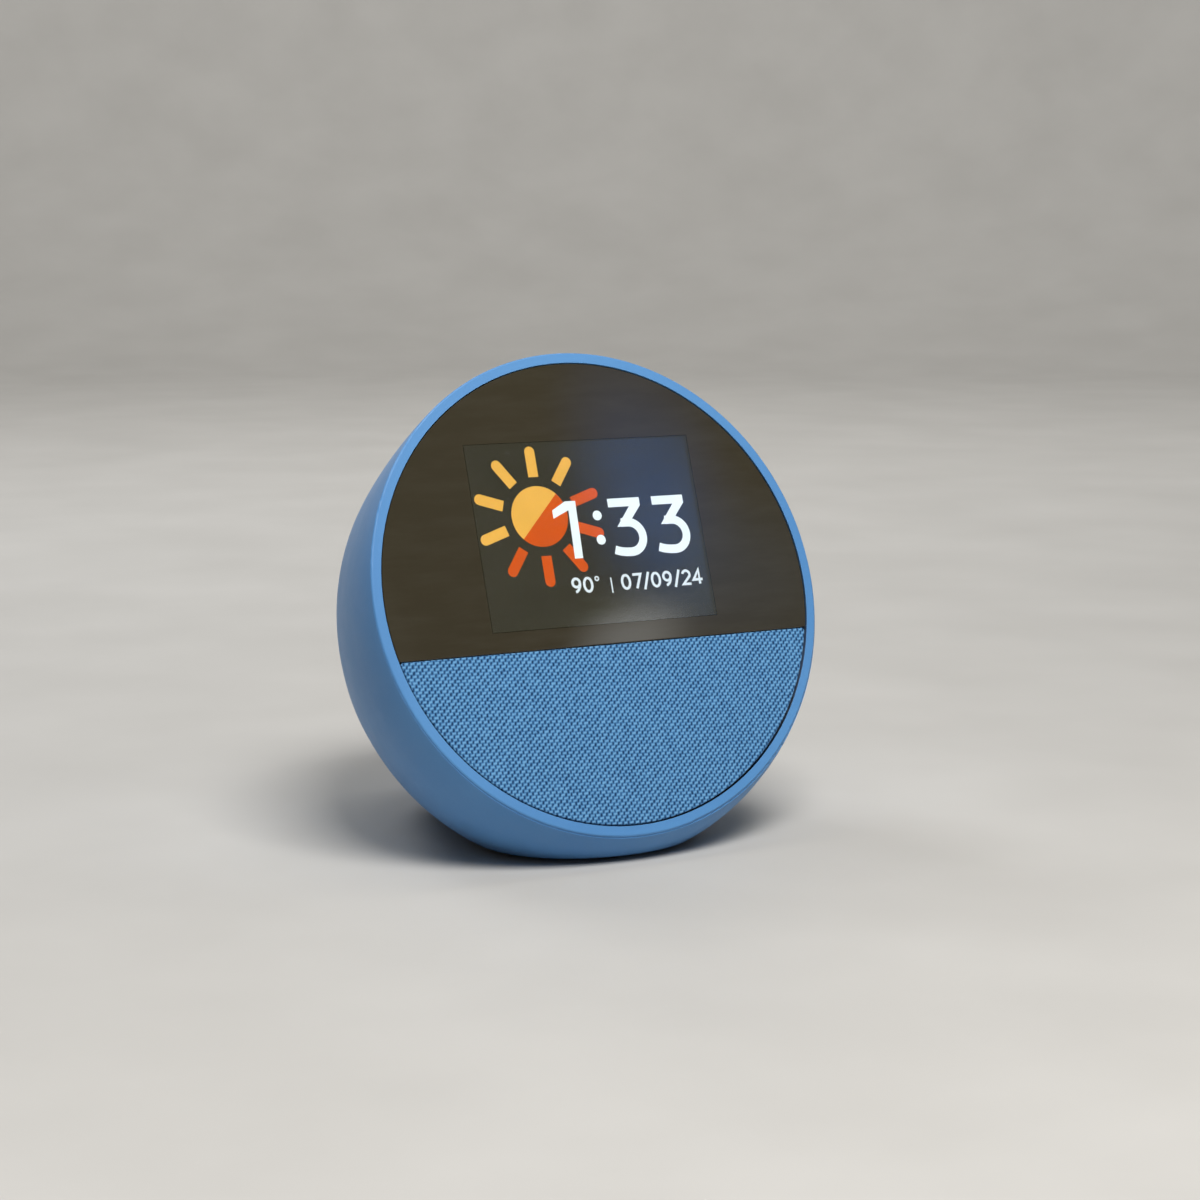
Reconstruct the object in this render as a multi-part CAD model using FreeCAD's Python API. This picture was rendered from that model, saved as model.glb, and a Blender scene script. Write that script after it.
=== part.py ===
import FreeCAD, Part
import math
import os

from FreeCAD import Placement, Rotation, Vector

# Tilted round smart display. Millimetres, +Z up, front towards -Y, origin on the floor under the
# middle of the bounding box.

# whole object
TILT = 20.0                 # backward lean of the face
FACE_Y = -32.5              # centre of the face circle
FACE_Z = 58.75
BIG = 300.0

# housing skin: control ovals parallel to the face as (half width, top, bottom, depth behind the face)
RIM_R = 55.6
SKIN_ROWS = (
    (RIM_R, RIM_R, -RIM_R, 0.0),
    (57.4, 54.4, -60.9, 7.6),
    (54.0, 51.4, -61.0, 27.8),
    (45.0, 50.4, -49.2, 47.8),
    (29.0, 29.2, -34.2, 86.1),
)
SKIN_POLES = 24
WALL = 2.3
RIM_EDGE = 0.5              # rounding of the outer edge of the rim

# underside
FOOT_T = 0.9
FOOT_CY = -11.0
FOOT_RX = 24.0
FOOT_RY = 32.2
FOOT_INSET = 0.35
FLOOR_TOP = 4.4             # inside floor of the housing
HATCH_RX = 20.0
HATCH_RY = 28.0
HATCH_T = 2.0
HATCH_GAP = 0.15
LEDGE = 4.6
BASE_SCREW_ANGLE = 45.0
BASE_SCREW_IN = 2.4         # screws inside the edge of the hatch
BASE_BOSS_TOP = 7.2
BASE_BOSS_R = 2.7
TREAD_STEP = 4.0            # grooves under the rubber foot
TREAD_COUNT = 4
TREAD_W = 1.0
TREAD_D = 0.25

# housing bosses
FRAME_SCREW_RING = 49.3
FRAME_SCREW_ANGLES = (40.0, 140.0, 205.0, 335.0)
FRAME_BOSS_R = 2.6
FRAME_BOSS_BACK = 14.0
WEB_L = 9.0
WEB_T = 3.0
WEB_D = 10.0
SKIN_BITE = 0.6             # how far under the outer skin a boss may grow
PILOT_R = 0.85
ROOT = 0.5                  # how far a boss reaches into the wall it stands on

# face stack, depths behind the rim plane
GLASS_R = 53.05
CHORD = -12.2
CHORD_GAP = 0.15
GLASS_FRONT = 0.15
GLASS_T = 1.1
BOND_T = 0.25
FRAME_FRONT = GLASS_FRONT + GLASS_T + BOND_T
FRAME_STEP = 2.6
FRAME_BACK = 4.0
FRAME_R = 52.4

# display
LCD_U = 13.7
LCD_W = 57.5
LCD_H = 43.1
LCD_BORDER = 1.3
LCD_PANEL_T = 1.4
BACKLIGHT_T = 2.0
TRAY_WALL = 0.45
TRAY_SLOT = 16.0
FLEX_X = -8.0
FLEX_W = 14.0
RIBBON_T = 0.25
SENSOR_U = 41.0
SENSOR_W = 2.4
LENS_CHAMFER = 0.15
TOUCH_T = 0.16
OPTICAL_GAP = 0.02
PICTURE_GAP = 0.06

# grille
FABRIC_FRONT = 0.35
FABRIC_T = 0.5
FABRIC_R = 53.0
FABRIC_EDGE = 0.35          # rounding of the turned-in edge
PLATE_T = 1.5
PLATE_CLEAR = 0.05
PLATE_RIB = 2.2
HOLE_R = 0.95
HOLE_PITCH = 2.7
HOLE_FIELD_R = 18.2

# speaker, 44 mm driver
SPK_U = -31.5
FLANGE_R = 21.4
FLANGE_S = 7.0
MOUTH_SPK_R = 19.2
COLLAR_R = 21.2
EAR_RING = 23.2
EAR_ANGLES = (30.0, 150.0, 210.0, 330.0)
EAR_R = 2.6
CONE_EDGE_R = 14.7
CONE_FRONT = 7.6
CONE_T = 0.4
ROLL_R = 16.0
ROLL_OUTER = 1.5
ROLL_INNER = 1.15
COIL_R = 7.6
COIL_FRONT = 11.6
COIL_BACK = 18.6
COIL_GLUE = 0.07
CAP_SPHERE_R = 16.0
CAP_T = 0.4
CAP_CENTRE_S = 25.1
CAP_EDGE_S = 11.3
SPIDER_S = 12.3             # front of the corrugated suspension
SPIDER_WAVE = 0.6
SPIDER_SKIN = 0.3
BASKET_BACK = 16.0
PLATE_BACK = 18.0
MAGNET_R = 14.5
MAGNET_BACK = 23.0
YOKE_R = 13.5
YOKE_BACK = 25.5
POLE_R = 7.05
CHAMBER_W = 72.0
CHAMBER_H = 60.0
CHAMBER_D = 36.0
CHAMBER_LOW = -70.5
CHAMBER_WALL = 1.7
CHAMBER_GAP = 0.6           # between the chamber and the inside of the housing
LEAD_X = 14.5
LEAD_S = 12.5
LEAD_R = 0.9

# electronics
BOARD_S = 20.0
BOARD_T = 1.2
BOARD_W = 74.0
BOARD_LOW = -6.0
BOARD_HIGH = 30.0
BOARD_POST_X = 34.3
BOARD_POST_R = 2.4
CAN_W = 26.0
CAN_H = 22.0
CAN_T = 2.4
CAN_WALL = 0.3
CHIP_X = 8.0
PAD_T = 0.8
SINK_W = 44.0
SINK_H = 26.0
SINK_X = 4.0
SINK_T = 1.5
FIN_COUNT = 7
FIN_PITCH = 4.0
FIN_T = 1.2
FIN_TOP = 9.0               # fin tips above the rear of the board
POWER_X = -28.0
POWER_R = 1.3
ANTENNA_U = 45.0

# buttons
BUTTON_PITCH = 15.0
BUTTON_L = 9.6
BUTTON_W = 5.0
BUTTON_CLEAR = 0.08
BUTTON_PROUD = 0.7
MARK_DEPTH = 0.2
BUTTON_V = 1.02             # place of the row along the skin, counted from the rim
FLANGE_Z = -8.2             # inner flange that keeps a button in, below the skin
FLANGE_H = 0.8
FLANGE_OUT = 1.6
SWITCH_Z = -9.2
SWITCH_H = 1.6
SWITCH_L = 4.4
SWITCH_W = 3.4
PLUNGER_R = 0.9
PLUNGER_IN = 0.65
PLUNGER_CLEAR = 0.08
POST_R = 1.5
KEY_BOARD_L = 44.0
KEY_BOARD_W = 11.0
KEY_BOARD_T = 1.0
MIC_Y = 5.2
MIC_R = 0.5
MARK_L = 2.8
MARK_W = 0.5

# socket
JACK_R = 4.4
JACK_LENGTH = 9.7
JACK_SINK = 0.3
JACK_FLANGE_R = 5.6
JACK_FLANGE_T = 1.9
JACK_BORE_R = 2.75
JACK_PIN_R = 0.8
JACK_BOSS_R = 6.2
JACK_BOSS_L = 7.0
JACK_U = (SKIN_ROWS[-1][1] + SKIN_ROWS[-1][2]) / 2
JACK_END = SKIN_ROWS[-1][3]
JACK_FRONT = JACK_END - JACK_SINK - JACK_LENGTH


def face_frame(shape):
    """Moves a shape from face coordinates (x right, y up the face, z outward) to the object."""
    return placed(shape, Placement(Vector(0, FACE_Y, FACE_Z), Rotation(Vector(1, 0, 0), 90 - TILT)))


def save(name, shape):
    shape = shape.removeSplitter() if shape.ShapeType == "Solid" else shape
    shape.exportStep("parts/" + name + ".step")


def one(shape):
    """The single solid of a boolean result."""
    solids = sorted(shape.Solids, key=lambda s: s.Volume)
    return solids[-1]


def cyl(r, s0, s1, x=0.0, u=0.0):
    """Cylinder along the face normal between two depths."""
    return Part.makeCylinder(r, s1 - s0, Vector(x, u, -s1))


def ring(r0, r1, s0, s1, x=0.0, u=0.0):
    return cyl(r1, s0, s1, x, u).cut(cyl(r0, s0, s1, x, u))


def slab(w, h, s0, s1, x=0.0, u=0.0):
    """Box centred on (x, u) between two depths."""
    return Part.makeBox(w, h, s1 - s0, Vector(x - w / 2, u - h / 2, -s1))


def revolve(points, x=0.0, u=0.0):
    """Solid of revolution about the face normal from (radius, depth) corners."""
    corners = [Vector(r, 0, -s) for r, s in points]
    wire = Part.makePolygon(corners + corners[:1])
    solid = Part.Face(wire).revolve(Vector(0, 0, 0), Vector(0, 0, 1), 360)
    solid.translate(Vector(x, u, 0))
    return solid


def segment(r, chord, s0, s1, above):
    """Part of a disc above or below the chord line."""
    disc = cyl(r, s0, s1)
    side = slab(BIG, BIG, s0 - 1, s1 + 1, 0, chord - BIG / 2 if above else chord + BIG / 2)
    return disc.cut(side)


def oval(rx, ry, z0, z1):
    """Upright oval prism over the middle of the foot."""
    if rx < ry:
        ellipse = Part.Ellipse(Vector(0, FOOT_CY + ry, 0), Vector(rx, FOOT_CY, 0), Vector(0, FOOT_CY, 0))
    else:
        ellipse = Part.Ellipse(Vector(rx, FOOT_CY, 0), Vector(0, FOOT_CY + ry, 0), Vector(0, FOOT_CY, 0))
    face = Part.Face(Part.Wire(ellipse.toShape()))
    face.translate(Vector(0, 0, z0))
    return face.extrude(Vector(0, 0, z1 - z0))


def skin_surface(inset):
    """Smooth skin through ovals parallel to the face, closing to a smooth pole at the back."""
    spread = 3.0 / (2.0 + math.cos(2 * math.pi / SKIN_POLES))
    depth = SKIN_ROWS[-1][3]
    rows = []
    for half, top, bottom, s in SKIN_ROWS:
        centre = (top + bottom) / 2
        rows.append((half - inset, centre, (top - bottom) / 2 - inset, s * (depth - inset) / depth))
    rows.append((0.0, rows[-1][1], 0.0, rows[-1][3]))
    poles = []
    for i in range(SKIN_POLES):
        across = spread * math.cos(2 * math.pi * i / SKIN_POLES)
        along = spread * math.sin(2 * math.pi * i / SKIN_POLES)
        poles.append([Vector(across * a, c + along * b, -s) for a, c, b, s in rows])
    surface = Part.BSplineSurface()
    around = [float(i) for i in range(SKIN_POLES + 1)]
    surface.buildFromPolesMultsKnots(
        poles, [1] * (SKIN_POLES + 1), [4, 1, 1, 4], around, [0.0, 1.0, 2.0, 3.0], True, False, 3, 3)
    return surface


def skin(inset):
    """Solid inside the skin, closed by the plane of the face."""
    side = skin_surface(inset).toShape()
    rim = [e for e in side.Edges if e.Length > 1 and all(abs(v.Z) < 1e-6 for v in e.Vertexes)]
    shell = Part.makeShell([side, Part.Face(Part.Wire(rim))])
    shell.sewShape()
    solid = Part.makeSolid(shell)
    if solid.Volume < 0:
        solid.reverse()
    return solid


def button_frame():
    """Placement of the button row: z outward along the skin normal, x across, y to the back."""
    surface = skin_surface(0.0)
    quarter = SKIN_POLES / 4.0 - 1.0
    local = surface.value(quarter, BUTTON_V)
    ahead = surface.value(quarter, BUTTON_V + 0.01)
    frame = Placement(Vector(0, FACE_Y, FACE_Z), Rotation(Vector(1, 0, 0), 90 - TILT))
    top = frame.multVec(local)
    run = frame.multVec(ahead) - top
    lean = math.degrees(math.atan2(run.z, run.y))
    return Placement(top, Rotation(Vector(1, 0, 0), lean))


def pill(length, width, z0, z1, x=0.0):
    """Stadium-shaped prism in button coordinates."""
    straight = length - width
    body = Part.makeBox(straight, width, z1 - z0, Vector(x - straight / 2, -width / 2, z0))
    for side in (-1, 1):
        body = body.fuse(Part.makeCylinder(width / 2, z1 - z0, Vector(x + side * straight / 2, 0, z0)))
    return one(body.removeSplitter())


def placed(shape, frame):
    shape = shape.copy()
    shape.Placement = frame.multiply(shape.Placement)
    return shape


def ellipse_spots(rx, ry, angle):
    """Four mirrored points on an oval around the middle of the foot."""
    spots = []
    for sx in (-1, 1):
        for sy in (-1, 1):
            x = sx * rx * math.cos(math.radians(angle))
            y = FOOT_CY + sy * ry * math.sin(math.radians(angle))
            spots.append((x, y))
    return spots


def frame_spots():
    spots = []
    for angle in FRAME_SCREW_ANGLES:
        turn = math.radians(angle)
        spots.append((FRAME_SCREW_RING * math.cos(turn), FRAME_SCREW_RING * math.sin(turn)))
    return spots


FRAME_SPOTS = frame_spots()
BASE_SPOTS = ellipse_spots(HATCH_RX - BASE_SCREW_IN, HATCH_RY - BASE_SCREW_IN, BASE_SCREW_ANGLE)
BOARD_SPOTS = [(x, u) for x in (-BOARD_POST_X, BOARD_POST_X) for u in (BOARD_LOW + 3.5, BOARD_HIGH - 9.0)]


def union(shapes):
    result = shapes[0]
    for shape in shapes[1:]:
        result = result.fuse(shape)
    return one(result.removeSplitter())


def screw(x, u, head_r, head_s0, head_s1, shank_r, tip_s):
    """Pan-head screw along the face normal, driven from the side of the smaller depth."""
    back = tip_s > head_s1
    shank = cyl(shank_r, head_s1, tip_s, x, u) if back else cyl(shank_r, tip_s, head_s0, x, u)
    body = cyl(head_r, head_s0, head_s1, x, u).fuse(shank)
    cut_at = head_s0 if back else head_s1
    for w, h in ((2.0, 0.4), (0.4, 2.0)):
        body = body.cut(slab(w, h, cut_at - 0.3, cut_at + 0.3, x, u))
    return one(body)


def upright_screw(x, y, frame, head_r, z0, z1, shank_r, tip):
    """Screw along the local upright, head between z0 and z1 and driven from below."""
    body = Part.makeCylinder(head_r, z1 - z0, Vector(x, y, z0))
    body = body.fuse(Part.makeCylinder(shank_r, tip - z1, Vector(x, y, z1)))
    for w, h in ((1.6, 0.35), (0.35, 1.6)):
        body = body.cut(Part.makeBox(w, h, 0.5, Vector(x - w / 2, y - h / 2, z0 - 0.2)))
    return placed(one(body), frame)


def cable(points, r, bend):
    """Round lead through the points with the corners taken as arcs."""
    edges = []
    start = points[0]
    for before, corner, after in zip(points, points[1:], points[2:]):
        inward = (before - corner).normalize()
        outward = (after - corner).normalize()
        half = inward.getAngle(outward) / 2
        reach = bend / math.tan(half)
        middle = (inward + outward).normalize()
        first = corner + inward * reach
        last = corner + outward * reach
        crown = corner + middle * (bend / math.sin(half) - bend)
        edges.append(Part.makeLine(start, first))
        edges.append(Part.Arc(first, crown, last).toShape())
        start = last
    edges.append(Part.makeLine(start, points[-1]))
    path = Part.Wire(edges)
    profile = Part.Wire(Part.makeCircle(r, points[0], points[1] - points[0]))
    return path.makePipeShell([profile], True, True)


def rim_round():
    """Ring that takes the sharp outer edge off the rim."""
    inner = Vector(RIM_R - RIM_EDGE, 0, 0)
    outer = Vector(RIM_R + 0.08, 0, -RIM_EDGE)
    crown = Vector(RIM_R - 0.3 * RIM_EDGE + 0.05, 0, -0.25 * RIM_EDGE)
    edges = [
        Part.Arc(inner, crown, outer).toShape(),
        Part.makeLine(outer, Vector(RIM_R + 2, 0, -RIM_EDGE)),
        Part.makeLine(Vector(RIM_R + 2, 0, -RIM_EDGE), Vector(RIM_R + 2, 0, 1)),
        Part.makeLine(Vector(RIM_R + 2, 0, 1), Vector(RIM_R - RIM_EDGE, 0, 1)),
        Part.makeLine(Vector(RIM_R - RIM_EDGE, 0, 1), inner),
    ]
    return Part.Face(Part.Wire(edges)).revolve(Vector(0, 0, 0), Vector(0, 0, 1), 360)


def below(z):
    """Everything under a level."""
    return Part.makeBox(BIG, BIG, BIG, Vector(-BIG / 2, -BIG / 2, z - BIG))


def frame_boss(x, u):
    """Screw boss behind the front frame, tied to the wall by a web."""
    boss = cyl(FRAME_BOSS_R, FRAME_BACK, FRAME_BOSS_BACK, x, u)
    web = Part.makeBox(WEB_L, WEB_T, WEB_D, Vector(0, -WEB_T / 2, -FRAME_BOSS_BACK))
    web.rotate(Vector(0, 0, 0), Vector(0, 0, 1), math.degrees(math.atan2(u, x)))
    web.translate(Vector(x, u, 0))
    return face_frame(boss.fuse(web).common(skin(SKIN_BITE)))


def housing_bosses(buttons):
    bosses = [frame_boss(x, u) for x, u in FRAME_SPOTS]
    bosses.append(face_frame(cyl(JACK_BOSS_R, JACK_END - 1.0 - JACK_BOSS_L, JACK_END - 1.0, 0, JACK_U)))
    for x, y in BASE_SPOTS:
        height = BASE_BOSS_TOP - FLOOR_TOP + ROOT
        bosses.append(Part.makeCylinder(BASE_BOSS_R, height, Vector(x, y, FLOOR_TOP - ROOT)))
    for x in (-BUTTON_PITCH / 2, BUTTON_PITCH / 2):
        post = placed(Part.makeCylinder(POST_R, 12.0, Vector(x, 0, -10.0)), buttons)
        bosses.append(post.common(face_frame(skin(SKIN_BITE))))
    return bosses


def housing_cuts(buttons):
    """Everything that is taken out of the housing wall."""
    tools = [below(FOOT_T)]
    tools.append(oval(HATCH_RX - LEDGE, HATCH_RY - LEDGE, 0, FLOOR_TOP + 1))
    tools.append(oval(HATCH_RX + HATCH_GAP, HATCH_RY + HATCH_GAP, 0, FOOT_T + HATCH_T))
    tools += [face_frame(cyl(PILOT_R, 3.0, 12.0, x, u)) for x, u in FRAME_SPOTS]
    tools += [Part.makeCylinder(PILOT_R, BASE_BOSS_TOP - 1.4, Vector(x, y, 1.0)) for x, y in BASE_SPOTS]
    tools.append(face_frame(cyl(JACK_R + 0.05, JACK_FRONT, JACK_END + 2.0, 0, JACK_U)))
    for x in (-BUTTON_PITCH, 0.0, BUTTON_PITCH):
        slot = pill(BUTTON_L + 2 * BUTTON_CLEAR, BUTTON_W + 2 * BUTTON_CLEAR, -12.0, 4.0, x)
        tools.append(placed(slot, buttons))
    for x in (-BUTTON_PITCH / 2, BUTTON_PITCH / 2):
        tools.append(placed(Part.makeCylinder(0.66, 4.0, Vector(x, 0, -10.5)), buttons))
        tools.append(placed(Part.makeCylinder(MIC_R, 14.0, Vector(x, MIC_Y, -10.0)), buttons))
    return tools


def housing_shell(buttons):
    hollow = face_frame(skin(WALL)).cut(below(FLOOR_TOP))
    body = face_frame(skin(0.0).cut(rim_round())).cut(hollow)
    for boss in housing_bosses(buttons):
        body = body.fuse(boss)
    for tool in housing_cuts(buttons):
        body = body.cut(tool)
    return one(body)


def rubber_foot():
    foot = oval(FOOT_RX - FOOT_INSET, FOOT_RY - FOOT_INSET, 0, FOOT_T)
    for k in range(1, TREAD_COUNT + 1):
        outer = k * TREAD_STEP
        inner = outer + TREAD_W
        groove = oval(FOOT_RX - outer, FOOT_RY - outer, -0.1, TREAD_D)
        foot = foot.cut(groove.cut(oval(FOOT_RX - inner, FOOT_RY - inner, -0.1, TREAD_D)))
    return one(foot)


def base_plate():
    plate = oval(HATCH_RX, HATCH_RY, FOOT_T, FOOT_T + HATCH_T)
    for x, y in BASE_SPOTS:
        plate = plate.cut(Part.makeCylinder(1.05, 9, Vector(x, y, 0)))
        plate = plate.cut(Part.makeCylinder(2.0, 1.1, Vector(x, y, FOOT_T - 0.1)))
    return one(plate)


def base_screws():
    screws = []
    tip = BASE_BOSS_TOP - 0.6
    for x, y in BASE_SPOTS:
        screws.append(upright_screw(x, y, Placement(), 1.8, FOOT_T + 0.1, FOOT_T + 1.0, 0.83, tip))
    return Part.makeCompound(screws)


def cover_glass():
    glass = one(segment(GLASS_R, CHORD, GLASS_FRONT, GLASS_FRONT + GLASS_T, True))
    front = [e for e in glass.Edges if all(abs(v.Z + GLASS_FRONT) < 1e-6 for v in e.Vertexes)]
    return glass.makeChamfer(LENS_CHAMFER, front)


def lens_adhesive():
    ring_part = segment(GLASS_R - 0.4, CHORD + 0.4, FRAME_FRONT - BOND_T, FRAME_FRONT, True)
    return one(ring_part.cut(slab(LCD_W + 4.2, LCD_H + 4.0, 0, 5, 0, LCD_U)))


def display_parts():
    touch_s = GLASS_FRONT + GLASS_T + OPTICAL_GAP
    width = LCD_W + 2 * LCD_BORDER
    height = LCD_H + 2 * LCD_BORDER
    panel_s = touch_s + TOUCH_T + PICTURE_GAP
    light_s = panel_s + LCD_PANEL_T
    end_s = light_s + BACKLIGHT_T
    tray = slab(width + 1.0, height + 1.0, panel_s + 0.15, end_s + TRAY_WALL, 0, LCD_U)
    tray = tray.cut(slab(width + 0.1, height + 0.1, 0, end_s, 0, LCD_U))
    tray = tray.cut(slab(TRAY_SLOT, 3.0, 0, 9, FLEX_X, LCD_U))
    return {
        "touch_sensor": slab(width + 0.6, height + 0.4, touch_s, touch_s + TOUCH_T, 0, LCD_U),
        "lcd_panel": slab(width, height, panel_s, light_s, 0, LCD_U),
        "lcd_backlight": slab(width, height, light_s, end_s, 0, LCD_U),
        "lcd_frame": one(tray),
    }


def display_flex():
    """Flat cable out of the slot of the display tray and straight back to the main board."""
    panel_s = GLASS_FRONT + GLASS_T + TOUCH_T + OPTICAL_GAP + PICTURE_GAP
    start = panel_s + LCD_PANEL_T + BACKLIGHT_T
    return slab(FLEX_W, RIBBON_T, start, BOARD_S - 1.0, FLEX_X, LCD_U)


def light_sensor():
    return slab(SENSOR_W, SENSOR_W, FRAME_FRONT + 0.1, FRAME_STEP, 0, SENSOR_U)


def front_frame():
    plate = cyl(FRAME_R, FRAME_STEP, FRAME_BACK)
    plate = plate.fuse(segment(FRAME_R, CHORD, FRAME_FRONT, FRAME_STEP, True))
    plate = plate.fuse(ring(MOUTH_SPK_R, COLLAR_R, FRAME_STEP, FLANGE_S - 0.5, 0, SPK_U))
    for x, u in BOARD_SPOTS:
        plate = plate.fuse(cyl(BOARD_POST_R, FRAME_BACK - ROOT, BOARD_S, x, u))
    plate = plate.cut(slab(LCD_W + 5.0, LCD_H + 4.3, 0, 9, 0, LCD_U))
    plate = plate.cut(cyl(MOUTH_SPK_R, 0, 9, 0, SPK_U))
    plate = plate.cut(slab(SENSOR_W + 0.6, SENSOR_W + 0.6, 0, FRAME_STEP, 0, SENSOR_U))
    for x, u in FRAME_SPOTS:
        plate = plate.cut(cyl(1.05, 0, 9, x, u))
        plate = plate.cut(cyl(2.1, 0, 3.2, x, u))
    for x, u in BOARD_SPOTS:
        plate = plate.cut(cyl(0.82, 12.0, BOARD_S + 1, x, u))
    return one(plate.removeSplitter())


def frame_screws():
    return Part.makeCompound([screw(x, u, 1.9, 2.65, 3.2, 0.83, 11.5) for x, u in FRAME_SPOTS])


def grille_fabric():
    edge = CHORD - CHORD_GAP
    cloth = segment(FABRIC_R, edge, FABRIC_FRONT, FRAME_STEP - 0.1, False)
    room = segment(FABRIC_R - FABRIC_T, edge - FABRIC_T, FABRIC_FRONT + FABRIC_T, FRAME_STEP, False)
    cloth = cloth.cut(room)
    cloth = one(cloth)
    front = [e for e in cloth.Edges if all(abs(v.Z + FABRIC_FRONT) < 1e-6 for v in e.Vertexes)]
    return cloth.makeFillet(FABRIC_EDGE, front)


def grille_holes():
    """Staggered round holes in front of the speaker."""
    holes = []
    row_pitch = HOLE_PITCH * 0.866
    rows = int(HOLE_FIELD_R / row_pitch) + 1
    for j in range(-rows, rows + 1):
        for i in range(-rows - 2, rows + 3):
            x = (i + 0.5 * (j % 2)) * HOLE_PITCH
            u = j * row_pitch
            if math.hypot(x, u) <= HOLE_FIELD_R:
                holes.append(cyl(HOLE_R, 0, 3, x, SPK_U + u))
    return Part.makeCompound(holes)


def grille_plate():
    front = FABRIC_FRONT + FABRIC_T
    r = FABRIC_R - FABRIC_T - PLATE_CLEAR
    edge = CHORD - CHORD_GAP - FABRIC_T - PLATE_CLEAR
    plate = segment(r, edge, front, front + PLATE_T, False)
    rib = segment(r, edge, front, FRAME_STEP, False)
    plate = plate.fuse(rib.cut(segment(r - PLATE_RIB, edge - PLATE_RIB, 0, 9, False)))
    return one(plate.cut(grille_holes()))


def speaker_ears():
    ears = []
    for angle in EAR_ANGLES:
        turn = math.radians(angle)
        ears.append((EAR_RING * math.cos(turn), SPK_U + EAR_RING * math.sin(turn)))
    return ears


def speaker_basket(ears, front):
    """Dished steel chassis with four windows and four screw ears."""
    back = front + 0.8
    seat = SPIDER_S + 0.9
    outline = [
        (16.8, front), (FLANGE_R, front), (FLANGE_R, back), (17.4, back), (14.3, 13.9), (13.2, BASKET_BACK),
        (8.9, BASKET_BACK), (8.9, BASKET_BACK - 0.8), (12.3, BASKET_BACK - 0.8), (12.3, seat), (13.6, seat),
        (16.2, 8.6)]
    basket = revolve(outline, 0, SPK_U)
    for angle in (45, 135, 225, 315):
        window = Part.makeBox(10.0, 8.5, 3.4, Vector(10.5, -4.25, -12.6))
        window.rotate(Vector(0, 0, 0), Vector(0, 0, 1), angle)
        window.translate(Vector(0, SPK_U, 0))
        basket = basket.cut(window)
    for x, u in ears:
        basket = basket.fuse(cyl(EAR_R, front, back, x, u).cut(cyl(18.0, 0, 9, 0, SPK_U)))
    for x, u in ears:
        basket = basket.cut(cyl(0.95, 0, 20, x, u))
    return one(basket.removeSplitter())


def speaker_surround(front):
    """Half-roll rubber edge between the cone and the basket."""
    centre = Vector(0, SPK_U, -front)
    roll = Part.makeTorus(ROLL_R, ROLL_OUTER, centre).cut(Part.makeTorus(ROLL_R, ROLL_INNER, centre))
    roll = roll.common(cyl(30, 4, front, 0, SPK_U))
    inner_lip = ring(13.9, 14.75, front - 0.2, front + 0.2, 0, SPK_U)
    outer_lip = ring(17.25, 19.0, front - 0.35, front, 0, SPK_U)
    return union([roll, inner_lip, outer_lip])


def speaker_cone():
    """Shallow paper cone glued to the coil former."""
    neck = COIL_R + COIL_GLUE
    flat = CONE_FRONT + CONE_T
    outline = [(neck, 12.2), (13.6, flat), (CONE_EDGE_R, flat), (CONE_EDGE_R, CONE_FRONT), (13.4, CONE_FRONT),
               (neck, 11.7)]
    return revolve(outline, 0, SPK_U)


def dust_cap():
    centre = Vector(0, SPK_U, -CAP_CENTRE_S)
    cap = Part.makeSphere(CAP_SPHERE_R, centre).cut(Part.makeSphere(CAP_SPHERE_R - CAP_T, centre))
    return one(cap.common(cyl(20, 0, CAP_EDGE_S, 0, SPK_U)))


def voice_coil():
    former = ring(COIL_R - 0.18, COIL_R + 0.05, COIL_FRONT, COIL_BACK, 0, SPK_U)
    winding = ring(COIL_R, COIL_R + 0.4, 15.2, 18.4, 0, SPK_U)
    return union([former, winding])


def speaker_spider():
    """Corrugated cloth suspension from the coil former to the basket."""
    low = SPIDER_S
    high = SPIDER_S + SPIDER_WAVE
    rear = high + SPIDER_SKIN
    dip = low + 0.35
    neck = COIL_R + 0.12
    outline = [
        (neck, high - 0.1), (8.6, high - 0.1), (9.3, low), (10.1, high), (10.9, low), (11.7, high),
        (13.4, high), (13.4, rear), (11.6, rear), (10.9, dip), (10.1, rear), (9.3, dip),
        (8.7, high + 0.2), (neck, high + 0.2)]
    return revolve(outline, 0, SPK_U)


def speaker_parts(ears):
    front = FLANGE_S + 0.4
    pole = cyl(POLE_R, BASKET_BACK + 0.2, MAGNET_BACK, 0, SPK_U)
    return {
        "speaker_gasket": ring(MOUTH_SPK_R + 0.2, COLLAR_R - 0.2, FLANGE_S - ROOT, front, 0, SPK_U),
        "speaker_basket": speaker_basket(ears, front),
        "speaker_surround": speaker_surround(front),
        "speaker_cone": speaker_cone(),
        "dust_cap": dust_cap(),
        "voice_coil": voice_coil(),
        "speaker_spider": speaker_spider(),
        "speaker_top_plate": ring(8.25, 13.0, BASKET_BACK, PLATE_BACK, 0, SPK_U),
        "speaker_magnet": ring(9.2, MAGNET_R, PLATE_BACK, MAGNET_BACK, 0, SPK_U),
        "speaker_yoke": union([cyl(YOKE_R, MAGNET_BACK, YOKE_BACK, 0, SPK_U), pole]),
    }


def chamber(inset):
    """Closed speaker chamber shape, shrunk by inset on every side."""
    front = FLANGE_S + 1.2 + inset
    width = CHAMBER_W - 2 * inset
    depth = CHAMBER_D - 2 * inset
    box = Part.makeBox(width, CHAMBER_H, depth, Vector(-width / 2, CHAMBER_LOW - inset, -front - depth))
    body = face_frame(skin(WALL + CHAMBER_GAP + inset).common(box))
    body = body.cut(below(FLOOR_TOP + ROOT + inset))
    for x, y in BASE_SPOTS:
        relief = Part.makeCylinder(BASE_BOSS_R + 0.4 + inset, BASE_BOSS_TOP + 0.3 + inset, Vector(x, y, 0))
        body = body.cut(relief)
    return one(body)


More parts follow.
